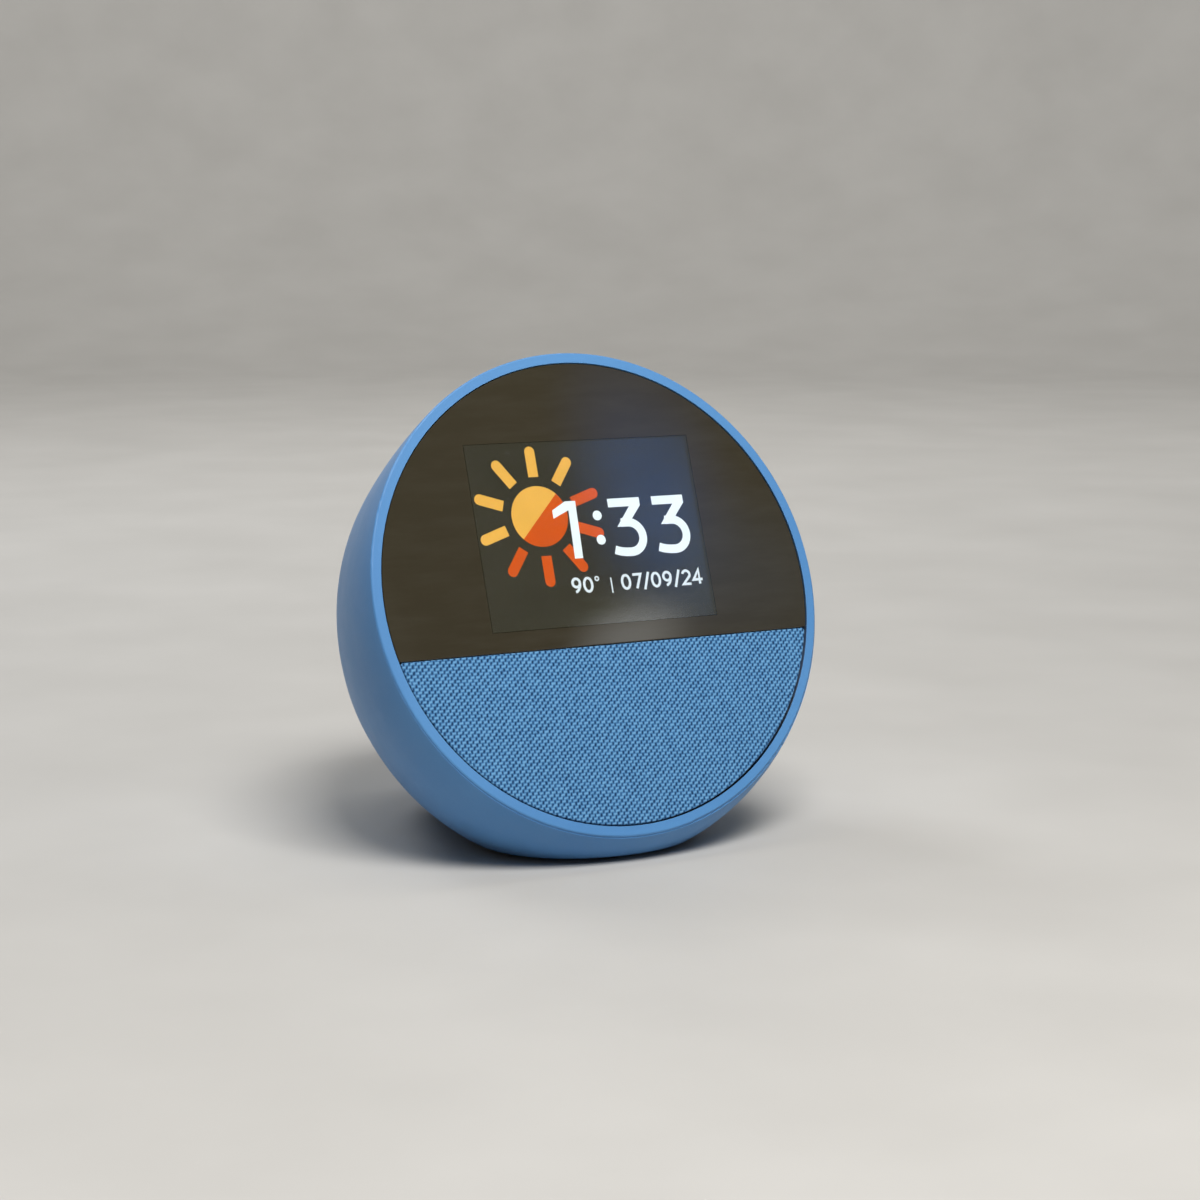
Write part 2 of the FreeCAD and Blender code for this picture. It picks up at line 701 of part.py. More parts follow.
def speaker_enclosure(ears):
    body = chamber(0.0).cut(chamber(CHAMBER_WALL))
    for x, u in ears:
        body = body.fuse(face_frame(cyl(BOARD_POST_R, FLANGE_S + 1.2, 15.0, x, u)))
    for x, u in ears:
        body = body.cut(face_frame(cyl(0.8, 0, 14.0, x, u)))
    body = body.cut(face_frame(cyl(17.6, 0, 10.5, 0, SPK_U)))
    lead_hole = Part.makeCylinder(1.3, 6.0, Vector(LEAD_X, -14.0, -LEAD_S), Vector(0, 1, 0))
    return one(body.cut(face_frame(lead_hole)))


def speaker_leads():
    """Lead from the driver up through the chamber wall and back to its connector."""
    path = [
        Vector(LEAD_X, SPK_U + 10.0, -LEAD_S),
        Vector(LEAD_X, 4.0, -LEAD_S),
        Vector(LEAD_X, 4.0, -BOARD_S + 1.6),
    ]
    return cable(path, LEAD_R, 3.0)


def heat_sink(rear, middle):
    """Finned plate over the shielded chip."""
    foot = rear + CAN_T + PAD_T
    sink = slab(SINK_W, SINK_H, foot, foot + SINK_T, SINK_X, middle)
    first = middle - FIN_PITCH * (FIN_COUNT - 1) / 2
    for k in range(FIN_COUNT):
        fin = slab(SINK_W, FIN_T, foot + SINK_T - 0.2, rear + FIN_TOP, SINK_X, first + FIN_PITCH * k)
        sink = sink.fuse(fin)
    return one(sink.removeSplitter())


def board_connectors(rear):
    """Display and speaker sockets on the front, power and button sockets on the rear."""
    return Part.makeCompound([
        slab(16.0, 4.0, BOARD_S - 1.5, BOARD_S, FLEX_X, LCD_U + 2.15),
        slab(6.0, 4.0, BOARD_S - 1.6, BOARD_S, LEAD_X, 4.0),
        slab(7.0, 5.0, rear, rear + CAN_T, POWER_X, 0.0),
        slab(10.0, 3.2, rear, rear + 1.4, -22.0, 27.0),
    ])


def board_parts():
    middle = (BOARD_LOW + BOARD_HIGH) / 2
    board = slab(BOARD_W, BOARD_HIGH - BOARD_LOW, BOARD_S, BOARD_S + BOARD_T, 0, middle)
    for x, u in BOARD_SPOTS:
        board = board.cut(cyl(1.0, BOARD_S - 1, BOARD_S + 3, x, u))
    rear = BOARD_S + BOARD_T
    can = slab(CAN_W, CAN_H, rear, rear + CAN_T, CHIP_X, middle)
    can_room = slab(CAN_W - 2 * CAN_WALL, CAN_H - 2 * CAN_WALL, rear, rear + CAN_T - CAN_WALL, CHIP_X, middle)
    screws = [screw(x, u, 1.7, rear, rear + 0.9, 0.8, 13.0) for x, u in BOARD_SPOTS]
    return {
        "main_board": board,
        "shield_can": can.cut(can_room),
        "thermal_pad": slab(18.0, 16.0, rear + CAN_T, rear + CAN_T + PAD_T, CHIP_X, middle),
        "heat_sink": heat_sink(rear, middle),
        "board_connectors": board_connectors(rear),
        "board_screws": Part.makeCompound(screws),
        "wifi_antenna": slab(26.0, 5.0, FRAME_BACK, FRAME_BACK + 0.6, 0, ANTENNA_U),
    }


def button_mark(name, x):
    """Prisms whose tops are sunk into a button as its plain symbol."""
    across = Part.makeBox(MARK_L, MARK_W, 12.0, Vector(x - MARK_L / 2, -MARK_W / 2, -4.0))
    if name == "volume_down":
        return [across]
    if name == "volume_up":
        return [across, Part.makeBox(MARK_W, MARK_L, 12.0, Vector(x - MARK_W / 2, -MARK_L / 2, -4.0))]
    outer = Part.makeCylinder(1.3, 12.0, Vector(x, 0, -4.0))
    circle = outer.cut(Part.makeCylinder(0.9, 12.0, Vector(x, 0, -4.0)))
    bar = Part.makeBox(2.0, 0.4, 12.0, Vector(-1.0, -0.2, -4.0))
    bar.rotate(Vector(0, 0, 0), Vector(0, 0, 1), 45)
    bar.translate(Vector(x, 0, 0))
    return [circle, bar]


def button_cap(name, x, buttons, reach, sunk):
    """Button that follows the skin, with its mark and the flange that keeps it in."""
    cap = placed(pill(BUTTON_L, BUTTON_W, FLANGE_Z + FLANGE_H, 6.0, x), buttons).common(reach)
    for mark in button_mark(name, x):
        cap = cap.cut(placed(mark, buttons).cut(sunk))
    flange = pill(BUTTON_L + FLANGE_OUT, BUTTON_W + FLANGE_OUT, FLANGE_Z, FLANGE_Z + FLANGE_H, x)
    return one(cap.fuse(placed(flange, buttons)).removeSplitter())


def switch_body(x):
    corner = Vector(x - SWITCH_L / 2, -SWITCH_W / 2, SWITCH_Z - SWITCH_H)
    block = Part.makeBox(SWITCH_L, SWITCH_W, SWITCH_H, corner)
    depth = PLUNGER_IN + 0.6
    return block.cut(Part.makeCylinder(PLUNGER_R + PLUNGER_CLEAR, depth, Vector(x, 0, SWITCH_Z - depth)))


def button_caps(buttons):
    names = ("volume_down", "mute", "volume_up")
    parts = {}
    reach = face_frame(skin(-BUTTON_PROUD))
    sunk = face_frame(skin(MARK_DEPTH - BUTTON_PROUD))
    bodies = []
    for name, x in zip(names, (-BUTTON_PITCH, 0.0, BUTTON_PITCH)):
        parts[name + "_button"] = button_cap(name, x, buttons, reach, sunk)
        length = FLANGE_Z - SWITCH_Z + PLUNGER_IN
        plunger = Part.makeCylinder(PLUNGER_R, length, Vector(x, 0, SWITCH_Z - PLUNGER_IN))
        parts[name + "_plunger"] = placed(plunger, buttons)
        bodies.append(switch_body(x))
    parts["switch_bodies"] = placed(Part.makeCompound(bodies), buttons)
    return parts


def key_board_parts(buttons):
    """Small board that carries the switches and microphones, its screws and seals."""
    top = SWITCH_Z - SWITCH_H
    corner = Vector(-KEY_BOARD_L / 2, -4.0, top - KEY_BOARD_T)
    board = Part.makeBox(KEY_BOARD_L, KEY_BOARD_W, KEY_BOARD_T, corner)
    screws = []
    mics = []
    seals = []
    within = face_frame(skin(WALL))
    for x in (-BUTTON_PITCH / 2, BUTTON_PITCH / 2):
        board = board.cut(Part.makeCylinder(0.8, 4, Vector(x, 0, top - 2)))
        board = board.cut(Part.makeCylinder(0.4, 4, Vector(x, MIC_Y, top - 2)))
        screws.append(upright_screw(x, 0, buttons, 1.3, top - 1.7, top - 1.0, 0.63, top + 3.2))
        mics.append(Part.makeBox(3.0, 2.4, 0.9, Vector(x - 1.5, MIC_Y - 1.2, top - 1.9)))
        tube = Part.makeCylinder(1.4, 12, Vector(x, MIC_Y, top))
        tube = tube.cut(Part.makeCylinder(MIC_R, 14, Vector(x, MIC_Y, top - 1)))
        seals.append(one(placed(tube, buttons).common(within)))
    return {
        "button_board": placed(one(board), buttons),
        "button_board_screws": Part.makeCompound(screws),
        "microphones": placed(Part.makeCompound(mics), buttons),
        "mic_gasket": Part.makeCompound(seals),
    }


def jack_parts():
    """DC socket in the back, its centre pin, and the lead from it to the main board."""
    s0 = JACK_FRONT
    barrel = cyl(JACK_R, s0, JACK_END - JACK_SINK, 0, JACK_U)
    body = union([barrel, cyl(JACK_FLANGE_R, s0, s0 + JACK_FLANGE_T, 0, JACK_U)])
    body = body.cut(cyl(JACK_BORE_R, s0 + 1.2, JACK_END + 1, 0, JACK_U))
    body = body.cut(cyl(JACK_PIN_R, s0 + 0.4, JACK_END + 1, 0, JACK_U))
    path = [
        Vector(0, JACK_U, -s0),
        Vector(0, JACK_U, -s0 + 18.0),
        Vector(POWER_X, 0, -50.0),
        Vector(POWER_X, 0, -BOARD_S - BOARD_T - CAN_T),
    ]
    return {
        "dc_jack": one(body),
        "dc_pin": cyl(JACK_PIN_R, s0 + 0.4, JACK_END - 1.5, 0, JACK_U),
        "power_lead": cable(path, POWER_R, 5.0),
    }


def button_ribbon(buttons):
    """Flat cable from under the button board down to the connector on the main board."""
    length = 10.2
    top = SWITCH_Z - SWITCH_H - KEY_BOARD_T
    strip = Part.makeBox(8.0, RIBBON_T, length, Vector(-26.0, 5.6, top - length))
    return placed(strip, buttons)


def face_parts(ears):
    """Everything that is drawn in face coordinates."""
    screws = [screw(x, u, 1.8, FLANGE_S - 0.4, FLANGE_S + 0.4, 0.78, 13.5) for x, u in ears]
    parts = {
        "cover_glass": cover_glass(),
        "lens_adhesive": lens_adhesive(),
        "display_flex": display_flex(),
        "light_sensor": light_sensor(),
        "front_frame": front_frame(),
        "frame_screws": frame_screws(),
        "grille_fabric": grille_fabric(),
        "grille_plate": grille_plate(),
        "speaker_leads": speaker_leads(),
        "speaker_screws": Part.makeCompound(screws),
    }
    parts.update(display_parts())
    parts.update(speaker_parts(ears))
    parts.update(board_parts())
    parts.update(jack_parts())
    return parts


def build():
    os.makedirs("parts", exist_ok=True)
    buttons = button_frame()
    ears = speaker_ears()
    for name, shape in face_parts(ears).items():
        save(name, face_frame(shape))
    for name, shape in {**button_caps(buttons), **key_board_parts(buttons)}.items():
        save(name, shape)
    save("housing_shell", housing_shell(buttons))
    save("rubber_foot", rubber_foot())
    save("base_plate", base_plate())
    save("base_screws", base_screws())
    save("speaker_enclosure", speaker_enclosure(ears))
    save("button_ribbon", button_ribbon(buttons))


build()
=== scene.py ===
import math

import bmesh
import bpy
from mathutils import Matrix, Vector


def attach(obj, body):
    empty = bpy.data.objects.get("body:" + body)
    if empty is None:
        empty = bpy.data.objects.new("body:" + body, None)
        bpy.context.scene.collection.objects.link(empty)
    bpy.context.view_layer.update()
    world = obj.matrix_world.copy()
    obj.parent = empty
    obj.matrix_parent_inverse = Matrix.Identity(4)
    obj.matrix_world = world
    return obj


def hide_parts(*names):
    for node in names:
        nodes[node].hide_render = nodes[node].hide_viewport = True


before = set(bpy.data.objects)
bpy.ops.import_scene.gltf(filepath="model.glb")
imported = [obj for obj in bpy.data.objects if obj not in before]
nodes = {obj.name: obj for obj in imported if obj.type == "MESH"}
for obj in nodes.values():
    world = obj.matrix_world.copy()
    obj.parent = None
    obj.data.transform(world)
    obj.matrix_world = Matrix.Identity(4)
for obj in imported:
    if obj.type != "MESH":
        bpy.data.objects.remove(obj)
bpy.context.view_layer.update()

# ---------------------------------------------------------------- sizes, in metres, as in the part
MM = 0.001
TILT = math.radians(20.0)
FACE = Vector((0.0, -32.5, 58.75)) * MM
CHORD = -12.2
CHORD_GAP = 0.15
FABRIC_R = 53.0
FABRIC_FRONT = 0.22
LCD_U = 13.7
LCD_W = 57.5
LCD_H = 43.1
WINDOW_IN = 0.15
PICTURE_S = 1.462
GLASS_S = 0.15
GLASS_BACK = 1.25
CAMERA = FACE + Vector((-279.1, -516.2, 84.8)) * MM
CAMERA_AZIMUTH = math.radians(28.35)
CAMERA_ELEVATION = math.radians(8.43)
LENS = 79.26

FACE_TURN = Matrix.Rotation(math.radians(90.0) - TILT, 4, "X")
FACE_MATRIX = Matrix.Translation(FACE) @ FACE_TURN


def face_point(x, u, s):
    """Point in the part's frame from millimetres across, up and behind the face."""
    return FACE_MATRIX @ Vector((x * MM, u * MM, -s * MM))


# ---------------------------------------------------------------- material helpers
def srgb(r, g, b):
    """Linear colour from 0-255 display values."""
    out = []
    for c in (r, g, b):
        c = c / 255.0
        out.append(c / 12.92 if c <= 0.04045 else ((c + 0.055) / 1.055) ** 2.4)
    return (*out, 1.0)


class Nodes:
    """Short wrapper around one material's node tree."""

    def __init__(self, name):
        self.material = bpy.data.materials.new(name)
        self.material.use_nodes = True
        self.tree = self.material.node_tree
        self.shader = self.tree.nodes["Principled BSDF"]
        self.output = self.tree.nodes["Material Output"]

    def add(self, kind, **settings):
        node = self.tree.nodes.new(kind)
        for key, value in settings.items():
            setattr(node, key, value)
        return node

    def link(self, source, target):
        self.tree.links.new(source, target)

    def plug(self, socket, value):
        if isinstance(value, bpy.types.NodeSocket):
            self.link(value, socket)
        else:
            socket.default_value = value

    def set(self, **values):
        names = {"color": "Base Color", "rough": "Roughness", "metal": "Metallic", "coat": "Coat Weight",
                 "coat_rough": "Coat Roughness", "sheen": "Sheen Weight", "sheen_rough": "Sheen Roughness",
                 "specular": "Specular IOR Level", "ior": "IOR", "glass": "Transmission Weight",
                 "glow": "Emission Color", "glow_strength": "Emission Strength", "normal": "Normal"}
        for key, value in values.items():
            self.plug(self.shader.inputs[names[key]], value)

    def object_point(self):
        return self.add("ShaderNodeTexCoord").outputs["Object"]

    def face_coords(self):
        """Object point turned into face coordinates, in millimetres."""
        turn = self.add("ShaderNodeMapping", vector_type="TEXTURE")
        turn.inputs["Location"].default_value = FACE
        turn.inputs["Rotation"].default_value = (math.radians(90.0) - TILT, 0.0, 0.0)
        turn.inputs["Scale"].default_value = (MM, MM, MM)
        self.link(self.object_point(), turn.inputs["Vector"])
        return turn.outputs["Vector"]

    def split(self, vector):
        node = self.add("ShaderNodeSeparateXYZ")
        self.link(vector, node.inputs[0])
        return node.outputs

    def math(self, operation, a, b=0.0):
        node = self.add("ShaderNodeMath", operation=operation)
        for socket, value in zip(node.inputs, (a, b)):
            self.plug(socket, value)
        return node.outputs[0]

    def noise(self, vector, scale, detail=3.0, rough=0.5):
        node = self.add("ShaderNodeTexNoise")
        self.plug(node.inputs["Vector"], vector)
        node.inputs["Scale"].default_value = scale
        node.inputs["Detail"].default_value = detail
        node.inputs["Roughness"].default_value = rough
        return node.outputs["Fac"]

    def cells(self, vector, scale):
        node = self.add("ShaderNodeTexVoronoi", feature="F1")
        self.plug(node.inputs["Vector"], vector)
        node.inputs["Scale"].default_value = scale
        return node.outputs["Distance"]

    def fit(self, value, low, high, to_low=0.0, to_high=1.0, smooth=False):
        node = self.add("ShaderNodeMapRange", interpolation_type="SMOOTHSTEP" if smooth else "LINEAR")
        self.plug(node.inputs["Value"], value)
        for key, number in zip(("From Min", "From Max", "To Min", "To Max"), (low, high, to_low, to_high)):
            node.inputs[key].default_value = number
        return node.outputs["Result"]

    def mix(self, factor, a, b):
        node = self.add("ShaderNodeMix", data_type="RGBA")
        self.plug(node.inputs[0], factor)
        self.plug(node.inputs[6], a)
        self.plug(node.inputs[7], b)
        return node.outputs[2]

    def bump(self, height, strength, distance):
        node = self.add("ShaderNodeBump")
        self.plug(node.inputs["Height"], height)
        node.inputs["Strength"].default_value = strength
        node.inputs["Distance"].default_value = distance
        return node.outputs["Normal"]


def shade(color, factor):
    return (color[0] * factor, color[1] * factor, color[2] * factor, 1.0)


# ---------------------------------------------------------------- material families
def moulded(name, color, rough=0.5, grain=9000.0, depth=0.00002, vary=0.08, specular=0.5):
    """Moulded plastic: fine spark-eroded grain, slow colour drift, faint handling marks."""
    m = Nodes(name)
    point = m.object_point()
    drift = m.noise(point, 38.0, 2.0)
    speck = m.noise(point, 2600.0, 2.0)
    blend = m.math("ADD", m.math("MULTIPLY", drift, 0.7), m.math("MULTIPLY", speck, 0.3))
    tint = m.mix(m.fit(blend, 0.3, 0.7), shade(color, 1.0 - vary), shade(color, 1.0 + vary))
    marks = m.fit(m.noise(point, 150.0, 6.0, 0.65), 0.35, 0.7, rough - 0.05, rough + 0.07)
    pits = m.math("ADD", m.cells(point, grain), m.math("MULTIPLY", m.noise(point, grain * 0.35, 3.0), 0.8))
    m.set(color=tint, rough=marks, specular=specular, normal=m.bump(pits, 0.35, depth))
    return m.material


def metal(name, color, rough=0.32, streak=(1.0, 1.0, 14.0), scale=900.0):
    """Rolled or plated metal: directional streaks, small stains, a soft variation in gloss."""
    m = Nodes(name)
    point = m.object_point()
    stretch = m.add("ShaderNodeMapping")
    stretch.inputs["Scale"].default_value = streak
    m.link(point, stretch.inputs["Vector"])
    lines = m.noise(stretch.outputs["Vector"], scale, 4.0, 0.6)
    stains = m.noise(point, 260.0, 4.0, 0.6)
    tint = m.mix(m.fit(stains, 0.35, 0.7), color, shade(color, 0.8))
    gloss = m.math("ADD", m.fit(lines, 0.3, 0.7, rough - 0.06, rough + 0.1), m.math("MULTIPLY", stains, 0.08))
    m.set(color=tint, rough=gloss, metal=1.0, normal=m.bump(lines, 0.25, 0.00001))
    return m.material


def rubbery(name, color, rough=0.78, grain=5200.0, depth=0.00003):
    """Rubber, foam or cable jacket: matte, dusty in random patches, softly pitted."""
    m = Nodes(name)
    point = m.object_point()
    dust = m.fit(m.noise(point, 210.0, 5.0, 0.6), 0.5, 0.8)
    pits = m.cells(point, grain)
    tint = m.mix(dust, color, shade(color, 1.35))
    m.set(color=tint, rough=m.fit(dust, 0.0, 1.0, rough, min(rough + 0.12, 1.0)), specular=0.35,
          normal=m.bump(pits, 0.5, depth))
    return m.material


def board(name, mask, copper=(0.30, 0.42, 0.16, 1.0), pitch=0.00115):
    """Printed board: solder mask over stepped tracks, with small plated vias."""
    m = Nodes(name)
    point = m.object_point()
    bricks = m.add("ShaderNodeTexBrick", offset=0.37, offset_frequency=2, squash=1.6, squash_frequency=3)
    m.link(point, bricks.inputs["Vector"])
    bricks.inputs["Scale"].default_value = 1.0 / (pitch * 4.0)
    bricks.inputs["Mortar Size"].default_value = 0.035
    bricks.inputs["Mortar Smooth"].default_value = 0.3
    tracks = bricks.outputs["Fac"]
    vias = m.fit(m.cells(point, 0.5 / pitch), 0.10, 0.16, 1.0, 0.0)
    under = m.mix(m.math("MULTIPLY", tracks, 0.6), mask, copper)
    tint = m.mix(vias, under, (0.72, 0.60, 0.32, 1.0))
    weave = m.noise(point, 1900.0, 2.0)
    m.set(color=tint, rough=m.fit(weave, 0.3, 0.7, 0.24, 0.4), coat=0.25, coat_rough=0.2, metal=vias,
          normal=m.bump(m.math("ADD", tracks, vias), 0.5, 0.00003))
    return m.material


def banded(name, color, groove_shade, pitch, metal_part, rough):
    """Ribbed or wound surface: fine rounded bands along the part's own height."""
    m = Nodes(name)
    point = m.object_point()
    wave = m.add("ShaderNodeTexWave", wave_type="BANDS", bands_direction="DIAGONAL", wave_profile="SIN")
    m.link(point, wave.inputs["Vector"])
    wave.inputs["Scale"].default_value = 0.3 / pitch
    wave.inputs["Distortion"].default_value = 0.4
    bands = wave.outputs["Fac"]
    stain = m.noise(point, 700.0, 3.0)
    # Painted shade: the valleys between the bands take the darker groove colour.
    tint = m.mix(m.math("MULTIPLY", bands, m.fit(stain, 0.2, 0.8, 0.75, 1.0)), groove_shade, color)
    m.set(color=tint, rough=m.fit(stain, 0.3, 0.7, rough - 0.05, rough + 0.1), metal=metal_part,
          normal=m.bump(bands, 0.6, pitch * 0.3))
    return m.material


def fibrous(name, color, rough=0.85):
    """Pressed paper or treated cloth: short crossed fibres and a mottled tone."""
    m = Nodes(name)
    point = m.object_point()
    across = m.add("ShaderNodeMapping")
    across.inputs["Scale"].default_value = (1.0, 9.0, 1.0)
    m.link(point, across.inputs["Vector"])
    along = m.add("ShaderNodeMapping")
    along.inputs["Scale"].default_value = (9.0, 1.0, 2.0)
    m.link(point, along.inputs["Vector"])
    fibres = m.math("MAXIMUM", m.noise(across.outputs[0], 900.0), m.noise(along.outputs[0], 900.0))
    tint = m.mix(m.fit(fibres, 0.4, 0.75), shade(color, 0.7), shade(color, 1.25))
    m.set(color=tint, rough=rough, sheen=0.15, normal=m.bump(fibres, 0.6, 0.00004))
    return m.material


# ---------------------------------------------------------------- the visible materials
SHELL_BLUE = srgb(84, 143, 200)
SHELL_DEEP = srgb(76, 134, 193)


def shell_material(name="shell_soft_touch", light=SHELL_BLUE, deep=SHELL_DEEP):
    """Soft-touch painted shell: even blue with a velvet sheen, fine grain, faint rubbed spots."""
    m = Nodes(name)
    point = m.object_point()
    drift = m.fit(m.noise(point, 22.0, 3.0, 0.55), 0.3, 0.72)
    speck = m.noise(point, 3100.0, 2.0)
    rubbed = m.fit(m.noise(point, 75.0, 7.0, 0.7), 0.56, 0.72)
    tint = m.mix(drift, deep, light)
    tint = m.mix(m.math("MULTIPLY", rubbed, 0.10), tint, shade(light, 1.25))
    tint = m.mix(m.fit(speck, 0.35, 0.7, 0.0, 0.08), tint, shade(deep, 0.72))
    gloss = m.math("SUBTRACT", m.fit(m.noise(point, 120.0, 5.0, 0.6), 0.3, 0.7, 0.47, 0.58),
                   m.math("MULTIPLY", rubbed, 0.06))
    grain = m.math("ADD", m.cells(point, 5200.0), m.math("MULTIPLY", m.noise(point, 2400.0, 4.0), 0.9))
    m.set(color=tint, rough=gloss, specular=0.42, sheen=0.10, sheen_rough=0.5,
          normal=m.bump(grain, 0.30, 0.00003))
    return m.material


def glass_material():
    """Cover lens: black printed border and a clear window, with faint wiped smears."""
    m = Nodes("cover_lens")
    x, u, front = m.split(m.face_coords())
    half_w = LCD_W / 2.0 - WINDOW_IN
    half_h = LCD_H / 2.0 - WINDOW_IN
    in_x = m.fit(m.math("ABSOLUTE", x), half_w - 0.04, half_w + 0.04, 1.0, 0.0)
    in_u = m.fit(m.math("ABSOLUTE", m.math("SUBTRACT", u, LCD_U)), half_h - 0.04, half_h + 0.04, 1.0, 0.0)
    behind = m.fit(front, -GLASS_BACK + 0.1, -GLASS_BACK, 0.0, 1.0)
    window = m.math("MAXIMUM", m.math("MULTIPLY", in_x, in_u), behind)
    clear_x = m.fit(m.math("ABSOLUTE", x), half_w - 0.12, half_w - 0.08, 1.0, 0.0)
    clear_u = m.fit(m.math("ABSOLUTE", m.math("SUBTRACT", u, LCD_U)), half_h - 0.12, half_h - 0.08, 1.0, 0.0)
    point = m.object_point()
    wipe = m.add("ShaderNodeMapping")
    wipe.inputs["Rotation"].default_value = (0.0, math.radians(32.0), 0.0)
    wipe.inputs["Scale"].default_value = (1.0, 1.0, 6.0)
    m.link(point, wipe.inputs["Vector"])
    smear = m.fit(m.noise(wipe.outputs["Vector"], 55.0, 6.0, 0.62), 0.42, 0.75)
    ink = m.mix(smear, (0.042, 0.036, 0.023, 1.0), (0.050, 0.044, 0.030, 1.0))
    clear = m.math("MAXIMUM", m.math("MULTIPLY", clear_x, clear_u), behind)
    tint = m.mix(clear, ink, (0.92, 0.92, 0.93, 1.0))
    m.set(color=tint, rough=m.fit(smear, 0.0, 1.0, 0.035, 0.085), ior=1.5, glass=window, specular=0.5)
    return m.material


def film_material():
    """Touch film: clear, with a barely visible grid of conductor lines."""
    m = Nodes("touch_film")
    x, u, _ = m.split(m.face_coords())
    line_x = m.fit(m.math("PINGPONG", x, 2.1), 0.0, 0.05, 1.0, 0.0)
    line_u = m.fit(m.math("PINGPONG", u, 2.1), 0.0, 0.05, 1.0, 0.0)
    lines = m.math("MAXIMUM", line_x, line_u)
    m.set(color=m.mix(m.math("MULTIPLY", lines, 0.05), (0.97, 0.97, 0.97, 1.0), (0.7, 0.72, 0.75, 1.0)),
          rough=m.fit(lines, 0.0, 1.0, 0.02, 0.05), ior=1.02, glass=1.0, specular=0.05)
    return m.material


def pixel_grid(m, pitch=0.18):
    """Dark lines between the cells of the display, 0 to 1."""
    x, u, _ = m.split(m.face_coords())
    gap_x = m.fit(m.math("PINGPONG", x, pitch / 2.0), 0.0, 0.03, 1.0, 0.0)
    gap_u = m.fit(m.math("PINGPONG", u, pitch / 2.0), 0.0, 0.03, 1.0, 0.0)
    return m.math("MAXIMUM", gap_x, gap_u), x, u


def panel_material():
    """Lit but dark display panel: a faint warm leak of the backlight, stronger at its edges."""
    m = Nodes("display_panel")
    gaps, x, u = pixel_grid(m)
    across = m.math("DIVIDE", m.math("ABSOLUTE", x), LCD_W / 2.0)
    upward = m.math("DIVIDE", m.math("ABSOLUTE", m.math("SUBTRACT", u, LCD_U)), LCD_H / 2.0)
    edge = m.fit(m.math("MAXIMUM", across, upward), 0.6, 1.0, 0.0, 1.0, smooth=True)
    cloud = m.noise(m.face_coords(), 0.05, 3.0)
    level = m.math("MULTIPLY", m.fit(cloud, 0.3, 0.7, 0.85, 1.1), m.fit(edge, 0.0, 1.0, 1.0, 1.2))
    level = m.math("MULTIPLY", level, m.fit(gaps, 0.0, 1.0, 1.0, 0.75))
    leak = m.mix(level, (0.0, 0.0, 0.0, 1.0), (0.058, 0.055, 0.036, 1.0))
    m.set(color=m.mix(gaps, (0.006, 0.006, 0.007, 1.0), (0.003, 0.003, 0.003, 1.0)),
          rough=m.fit(cloud, 0.3, 0.7, 0.38, 0.5), glow=leak, glow_strength=1.0, specular=0.08)
    return m.material


def lit_material(name, color, strength):
    """One colour of the lit picture, broken by the panel's cells."""
    m = Nodes(name)
    gaps, _, _ = pixel_grid(m)
    cloud = m.noise(m.face_coords(), 0.12, 2.0)
    level = m.math("MULTIPLY", m.fit(gaps, 0.0, 1.0, 1.0, 0.8), m.fit(cloud, 0.3, 0.7, 0.95, 1.05))
    glow = m.mix(level, (0.0, 0.0, 0.0, 1.0), color)
    m.set(color=(0.01, 0.01, 0.01, 1.0), rough=m.fit(cloud, 0.3, 0.7, 0.4, 0.5), glow=glow,
          glow_strength=strength, specular=0.2)
    return m.material


# ---------------------------------------------------------------- the woven grille fabric
WEAVE_X = 1.43
WEAVE_U = 0.71
WEAVE_DROP = 0.043
RISING_THREAD, FALLING_THREAD = 0.65, 0.35
COLUMN_DIP, ROW_RISE = 0.30, 0.25
HOLE_LEVEL, CREST_LEVEL = -1.05, 0.95
RELIEF = 0.10
FABRIC_LIP = 0.40
FABRIC_SKIRT = 1.5
LIP_STEPS = 5
FABRIC_TOP = CHORD - CHORD_GAP


def weave_height(x, u):
    """0 at the bottom of a hole, 1 on the crest of a thread; the rows fall a little to the right."""
    across = 2.0 * math.pi * x / WEAVE_X
    down = math.pi * (u + WEAVE_DROP * x) / WEAVE_U
    level = (ROW_RISE * math.cos(2.0 * down) - COLUMN_DIP * math.cos(2.0 * across)
             - RISING_THREAD * math.cos(across - down) - FALLING_THREAD * math.cos(across + down))
    return (level - HOLE_LEVEL) / (CREST_LEVEL - HOLE_LEVEL)


def fabric_edge(x, u, inset):
    """Signed distance in millimetres outside the cloth's outline moved in by inset, and its way out."""
    far = math.hypot(x, u)
    to_rim = far - (FABRIC_R - inset)
    to_top = u - (FABRIC_TOP - inset)
    if to_rim > to_top:
        return to_rim, x / far, u / far
    return to_top, 0.0, 1.0


